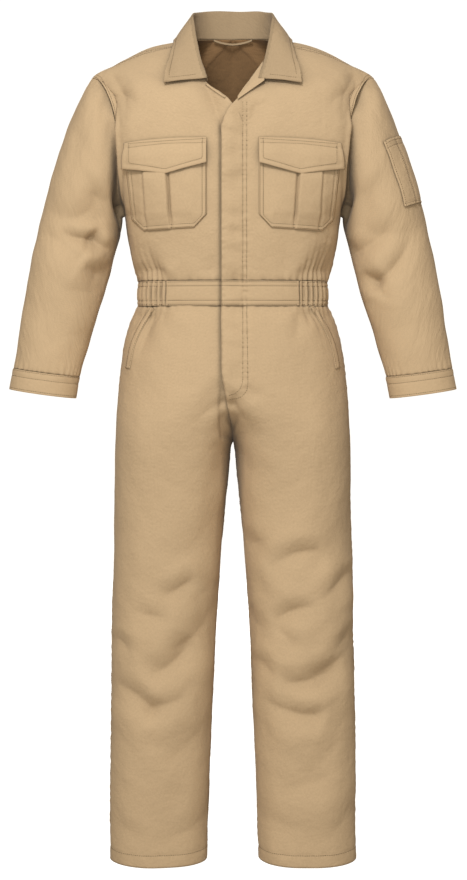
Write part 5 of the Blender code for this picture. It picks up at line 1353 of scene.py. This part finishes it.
PEN_DIVIDE = 38.0        # degrees where its front part laps over the back part


def pen_pocket():
    """A narrow pocket in two steps, laid round the outside of the left sleeve."""
    panel, lengths, turns = PANELS["sleeve_left"]
    degrees = np.linspace(PEN_TURN[0], PEN_TURN[1], 46)
    shares = np.linspace(0.0, 1.0, 44)
    grid = np.zeros((len(shares), len(degrees), 3))
    for c, degree in enumerate(degrees):
        forward = (1 - np.cos(np.radians(degree))) / (1 - np.cos(np.radians(PEN_TURN[1])))
        mouth, bottom = (PEN_BACK[n] - PEN_RISE[n] * forward for n in (0, 1))
        rows = np.interp(mouth + (bottom - mouth) * shares, lengths, np.arange(len(lengths)))
        points, normals = panel.read(rows, np.full(len(rows), degree / 360.0 * len(turns)))
        lift = 0.0011 + 0.0012 * ease(degree, 4, 20) * ease(-degree, -PEN_TURN[1], 5 - PEN_TURN[1])
        lift = lift + 0.0012 * ease(degree, PEN_DIVIDE - 1.5, PEN_DIVIDE + 1.5)
        lift = lift - 0.0012 * close_to(degree, PEN_DIVIDE - 2.5, 2.0)
        lift = lift + 0.0005 * close_to(shares, 0.0, 0.08) - 0.0008 * close_to(shares, 0.95, 0.02)
        lift = lift - 0.0008 * close_to(shares, 0.10, 0.015)
        grid[:, c] = points + normals * lift[:, None]
    normals = grid_normals(grid, False, (1, -1, 0))
    shell("pen_pocket", [grid], [normals], thickness=TRIM_CLOTH, slot="trim_twill")
    pocket = Panel(grid, normals)
    across = np.linspace(0, len(degrees) - 1, 60)
    down = np.linspace(0, len(shares) - 1, 60)
    for row in (1.5, 4.5, len(shares) - 3.0):
        stitch_grid(pocket, row, across, TRIM_CLOTH / 2)
    for column in (2.0, float(np.interp(PEN_DIVIDE + 3, degrees, range(len(degrees)))), len(degrees) - 3.0):
        stitch_grid(pocket, down, column, TRIM_CLOTH / 2)


def side_pocket(side, hand):
    """The bound edge of the slanting pocket opening, laid on the trouser front."""
    panel = PANELS["leg_front_" + hand][0]
    at = np.linspace(0.0, 3.0, 44)
    line = smooth(SIDE_POCKET, at)
    run = unit(np.gradient(line, axis=0))
    across = np.stack([run[:, 1], -run[:, 0]], axis=-1)
    wide = np.linspace(0.0, SIDE_POCKET_WIDTH, 9)
    places = line[:, None, :] + across[:, None, :] * wide[None, :, None]
    lift = 0.0009 + 0.0008 * np.sin(np.linspace(0, np.pi, 9))
    lifts = np.repeat(lift[None, :], len(at), axis=0)
    grid = panel.lay(places * np.array([side, 1.0]), lifts)
    normals = grid_normals(grid, False, (0, -1, 0))
    shell("side_pocket_" + hand, [grid], [normals], thickness=TRIM_CLOTH, slot="trim_twill")
    strip = Panel(grid, normals)
    for column in (1.2, 6.8):
        stitch_grid(strip, np.linspace(0, len(at) - 1, 50), column, TRIM_CLOTH / 2)


def facings():
    """The ends of the front facings, turned out: a raised corner on the left, a sliver on the right."""
    panel = PANELS["front_left"][0]
    corners = []
    for x, z, lift in (REVERE_APEX, REVERE_OUTER):
        point, normal = panel.at(x, z)
        corners.append(np.array(point) + np.array(normal) * lift)
    apex, outer = corners
    along = np.linspace(0.14, 1.0, 30)[:, None, None]
    part = np.linspace(0.0, 1.0, 18)[None, :, None]
    grid = apex + along * ((np.array(REVERE_TOP) - apex) * (1 - part) + (outer - apex) * part)
    grid[:, :, 1] -= 0.0030 * (np.sin(np.pi * along) * np.sin(np.pi * part))[:, :, 0]
    for r, c in np.ndindex(grid.shape[:2]):
        hit, _, index, gap = panel.tree.find_nearest(Vector(grid[r, c]))
        normal = panel.normals.reshape(-1, 3)[panel.faces[index][0]]
        above = float(np.dot(grid[r, c] - np.array(hit), normal))
        if gap < 0.02 and above < REVERE_CLEAR:
            grid[r, c] += normal * (REVERE_CLEAR - above)
    shell("facing_left", [grid], [grid_normals(grid, False, (0, -1, 0))], thickness=TRIM_CLOTH,
          slot="trim_twill")
    start, end = np.array(RIGHT_REVERE)
    run = end - start
    across = np.array([-run[1], run[0]]) / np.linalg.norm(run)
    across = across if across[0] > 0 else -across
    along = np.linspace(0.0, 1.0, 16)
    width = RIGHT_REVERE_WIDTH * (1 - 0.6 * along)
    aside = (width[:, None] * np.linspace(0, 1, 6))[:, :, None]
    places = (start + run * along[:, None])[:, None, :] + across * aside
    grid = PANELS["front_right"][0].lay(places * np.array([-1.0, 1.0]), np.full((16, 6), 0.0022))
    shell("facing_right", [grid], [grid_normals(grid, False, (0, -1, 0))], thickness=TRIM_CLOTH,
          slot="trim_twill")


def collar():
    """One folded sheet: up from the neck seam, over the roll line and down over the bodice."""
    sheets = [PANELS[name][0] for name in ("front_left", "front_right", "back_left", "back_right")]
    half, rolls = [], []
    for row in smooth(COLLAR, np.linspace(0.0, COLLAR[-1][0], COLLAR_STATIONS)):
        seam, roll, edge = row[0:3], row[3:6], row[6:9]
        tall = np.linalg.norm(roll - seam)
        up = (roll - seam) / tall
        out = edge - roll
        reach = np.linalg.norm(out)
        out = out / reach
        bulge = min(0.0032, tall * 0.25)
        path = [seam + up * 0.0008, seam + up * tall * 0.35 - out * 0.001, seam + up * tall * 0.70]
        path += [roll + up * bulge * 0.35, roll + up * bulge * 0.25 + out * bulge * 1.3]
        for share in (0.14, 0.28, 0.42, 0.56, 0.70, 0.85, 1.0):
            path.append(roll + out * reach * share + up * 0.0015 * np.sin(np.pi * share))
        path = np.array(path)
        knots = travel(path)
        steps = np.linspace(0.0, knots[-1], COLLAR_PATH)
        dense = smooth(np.column_stack([knots, path]), steps)
        leaf_from = int(np.searchsorted(steps, knots[4]))
        for n in range(leaf_from, len(dense)):
            for sheet in sheets:
                hit, _, index, gap = sheet.tree.find_nearest(Vector(dense[n]))
                normal = sheet.normals.reshape(-1, 3)[sheet.faces[index][0]]
                above = float(np.dot(dense[n] - np.array(hit), normal))
                lift = COLLAR_LIFT * min(1.0, 0.4 + (n - leaf_from) / 10)
                at_end = ease(len(half), 52, 64) * (1 - ease(len(half), 69, 74))
                lift += COLLAR_CURL * ease(n, 28, 43) * at_end
                if gap < 0.03 and above < lift:
                    dense[n] = dense[n] + normal * (lift - above)
        half.append(dense)
        rolls.append(leaf_from + 1)
    half = np.array(half)
    blurred = half.copy()
    for _ in range(6):
        blurred[1:-1] = (blurred[:-2] + 2 * blurred[1:-1] + blurred[2:]) / 4
        blurred[:, 6:-1] = (blurred[:, 5:-2] + 2 * blurred[:, 6:-1] + blurred[:, 7:]) / 4
        blurred[0, :, 0] = 0.0
    half = blurred
    whole = np.concatenate([mirrored(half)[::-1], half[1:]], axis=0)
    middle = len(whole) // 2
    normals = grid_normals(whole, False, (0, 1, 0))
    if normals[middle, -4, 1] < 0:
        normals = -normals
    edge = lengths_of(whole, 1)
    from_edge = edge[:, -1:] - edge
    along = lengths_of(whole, 0)
    from_end = np.minimum(along, along[-1:] - along)
    push = -0.0006 * close_to(from_edge, COLLAR_STITCH, 0.0022)
    push += ripple(whole, 12, 0.06, 0.0012)
    whole = whole + normals * push[:, :, None]
    made = shell("collar", [whole], [normals], thickness=COLLAR_WALL, slot="collar_twill")
    # painted shade: the stand, up to the roll, is given the darker cloth
    for _ in range(2):
        made.data.materials.append(SHADED_COLLAR_INNER)
    rolls = rolls[::-1] + rolls[1:]
    for face in made.data.polygons:
        row, column = divmod(max(face.vertices), whole.shape[1])
        if column <= rolls[row]:
            face.material_index = 2
    panel = Panel(whole, normals)
    rows = np.arange(len(whole))
    stitch_grid(panel, rows[3:-3], column_at(whole, COLLAR_STITCH, True)[3:-3], COLLAR_WALL / 2)
    end_row = float(np.interp(COLLAR_STITCH, from_end[:middle, -8], range(middle)))
    for row in (end_row, len(whole) - 1 - end_row):
        stitch_grid(panel, row, np.linspace(14, whole.shape[1] - 4, 40), COLLAR_WALL / 2)
    inner_points, inner_normals = panel.read(rows.astype(float), np.full(len(rows), 5.0))
    stitch(inner_points, -inner_normals, COLLAR_WALL / 2)


def hanger_loop():
    """A narrow strip that hangs inside the back of the neck."""
    across = np.linspace(-1.0, 1.0, 50)
    x = across * 0.035
    seam_y = np.interp(np.abs(x), [0.0, 0.034, 0.058], [0.066, 0.060, 0.040]) - 0.0028
    top = 0.0200 - 0.007 * (1 - across ** 2)
    down = np.linspace(0.0, 1.0, 6)
    grid = np.stack([np.repeat(x[None, :], 6, axis=0),
                     seam_y[None, :] - 0.0016 * down[:, None] - 0.0010 * (1 - across ** 2)[None, :],
                     top[None, :] - 0.0036 * down[:, None]], axis=-1)
    normals = grid_normals(grid, False, (0, -1, 0))
    made = shell("hanger_loop", [grid], [normals], slot="trim_twill")
    # painted shade: the whole loop is given the darker cloth, for the shade inside the neck
    for _ in range(2):
        made.data.materials.append(SHADED_COLLAR_INNER)
    for face in made.data.polygons:
        face.material_index = 2


def front_stitches():
    """Rows of stitches down the fly, along the shoulder seams and round the armholes."""
    for name in ("front_left", "front_right", "back_left", "back_right"):
        panel, rows, _ = PANELS[name]
        used = np.arange(len(rows))[rows > UNDERARM_ROW]
        for gap in ARMHOLE_STITCHES:
            stitch_grid(panel, used, column_at(panel.grid, gap, True)[used])
        gap = SHOULDER_STITCH[name.split("_")[0]]
        from_top = lengths_of(panel.grid, 0)[-1:] - lengths_of(panel.grid, 0)
        level_rows = [float(np.interp(-gap, -line, range(len(line)))) for line in from_top.T]
        stitch_grid(panel, np.array(level_rows[:-1]), np.arange(len(level_rows) - 1))
    left = PANELS["front_left"][0]
    for x in FLY_STITCH_X:
        stitch_on(left, [(x, -0.118), (x, WAIST_TOP_Z - 0.0005)])
    leg = PANELS["leg_front_left"][0]
    for x, curve in zip(FLY_STITCH_X, FLY_CURVES):
        stitch_on(leg, [(x, WAIST_LOW_Z - 0.001), *curve])


def thread_piece():
    """All stitches, as one piece."""
    mesh = bpy.data.meshes.new("stitching")
    mesh.from_pydata([tuple(p) for p in STITCHES["points"]], [], STITCHES["faces"])
    mesh.uv_layers.new(name="cut")
    mesh.materials.append(SHADED_THREAD)
    made = bpy.data.objects.new("stitching", mesh)
    bpy.context.scene.collection.objects.link(made)
    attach(made, "root")


build_bodice()
build_waistband()
build_legs()
build_sleeves()
for hand_side, hand_name in HANDS:
    chest_pocket(hand_side, hand_name)
    chest_flap(hand_side, hand_name)
    side_pocket(hand_side, hand_name)
pen_pocket()
facings()
collar()
hanger_loop()
front_stitches()
thread_piece()


# ---------------------------------------------------------------------------------- stage, light, camera
FLOOR_Z = -1.56          # a little under the hems
FLOOR_RADIUS = 9.0
CURVE_RADIUS = 1.2       # between the floor and the wall
WALL_TOP_Z = 9.0
PAPER_WHITE = 0.90
PAPER_GLOW = 0.85        # the paper's own light, which keeps it white
SKY_COLOUR = (1.0, 0.84, 0.62, 1)
SKY_STRENGTH = 0.26
LAMPS = (
    # name     place               target           side  watts
    ("key", (-0.45, -2.5, 1.8), (0, 0, -0.80), 0.7, 51),
    ("front", (-0.2, -3.4, -0.5), (0, 0, -0.95), 1.2, 42),
    ("back", (0.5, 3.6, 0.4), (0, 0, -0.70), 1.8, 34),
)
CAMERA_PLACE = (0.0012, -2.9, -0.504)
CAMERA_LENS = 65.9       # in mm, on a frame 36 mm high
CAMERA_SHIFT = -0.1307   # the view is moved down by this share of the frame


def stage():
    """A pale round floor that curves up into a wall on every side."""
    profile = [(0.0, FLOOR_Z)]
    for angle in np.linspace(0.0, np.pi / 2, 12):
        out, up = CURVE_RADIUS * np.sin(angle), CURVE_RADIUS * (1 - np.cos(angle))
        profile.append((FLOOR_RADIUS + out, FLOOR_Z + up))
    profile.append((FLOOR_RADIUS + CURVE_RADIUS, WALL_TOP_Z))
    turns = np.linspace(0.0, 2 * np.pi, 73)[:-1]
    points = [(r * np.cos(turn), r * np.sin(turn), z) for r, z in profile for turn in turns]
    mesh = bpy.data.meshes.new("backdrop")
    mesh.from_pydata(points, [], quads(len(profile), len(turns), True))
    mesh.shade_smooth()
    made = bpy.data.materials.new("backdrop_paper")
    made.use_nodes = True
    shader = made.node_tree.nodes["Principled BSDF"]
    shader.inputs["Base Color"].default_value = (PAPER_WHITE, PAPER_WHITE, PAPER_WHITE, 1)
    shader.inputs["Roughness"].default_value = 1.0
    shader.inputs["Emission Color"].default_value = (1, 1, 1, 1)
    shader.inputs["Emission Strength"].default_value = PAPER_GLOW
    mesh.materials.append(made)
    floor = bpy.data.objects.new("backdrop", mesh)
    bpy.context.scene.collection.objects.link(floor)
    floor.visible_diffuse = False
    floor.visible_glossy = False


def lamp(name, place, target, size, power):
    """A square soft lamp at a place, turned to its target."""
    data = bpy.data.lights.new(name, "AREA")
    data.shape = "SQUARE"
    data.size = size
    data.energy = power
    made = bpy.data.objects.new(name, data)
    made.location = place
    made.rotation_euler = (Vector(target) - Vector(place)).to_track_quat("-Z", "Y").to_euler()
    bpy.context.scene.collection.objects.link(made)


def light_and_camera():
    """A warm even light, three lamps, and a camera square to the front."""
    scene = bpy.context.scene
    world = bpy.data.worlds.new("studio")
    world.use_nodes = True
    world.node_tree.nodes["Background"].inputs["Color"].default_value = SKY_COLOUR
    world.node_tree.nodes["Background"].inputs["Strength"].default_value = SKY_STRENGTH
    scene.world = world
    for row in LAMPS:
        lamp(*row)
    scene.view_settings.view_transform = "Standard"
    scene.view_settings.look = "None"
    scene.view_settings.exposure = 0.0
    data = bpy.data.cameras.new("camera")
    data.sensor_fit = "VERTICAL"
    data.sensor_height = 36.0
    data.lens = CAMERA_LENS
    data.shift_y = CAMERA_SHIFT
    camera = bpy.data.objects.new("camera", data)
    camera.location = CAMERA_PLACE
    camera.rotation_euler = (np.pi / 2, 0, 0)
    scene.collection.objects.link(camera)
    scene.camera = camera


stage()
light_and_camera()
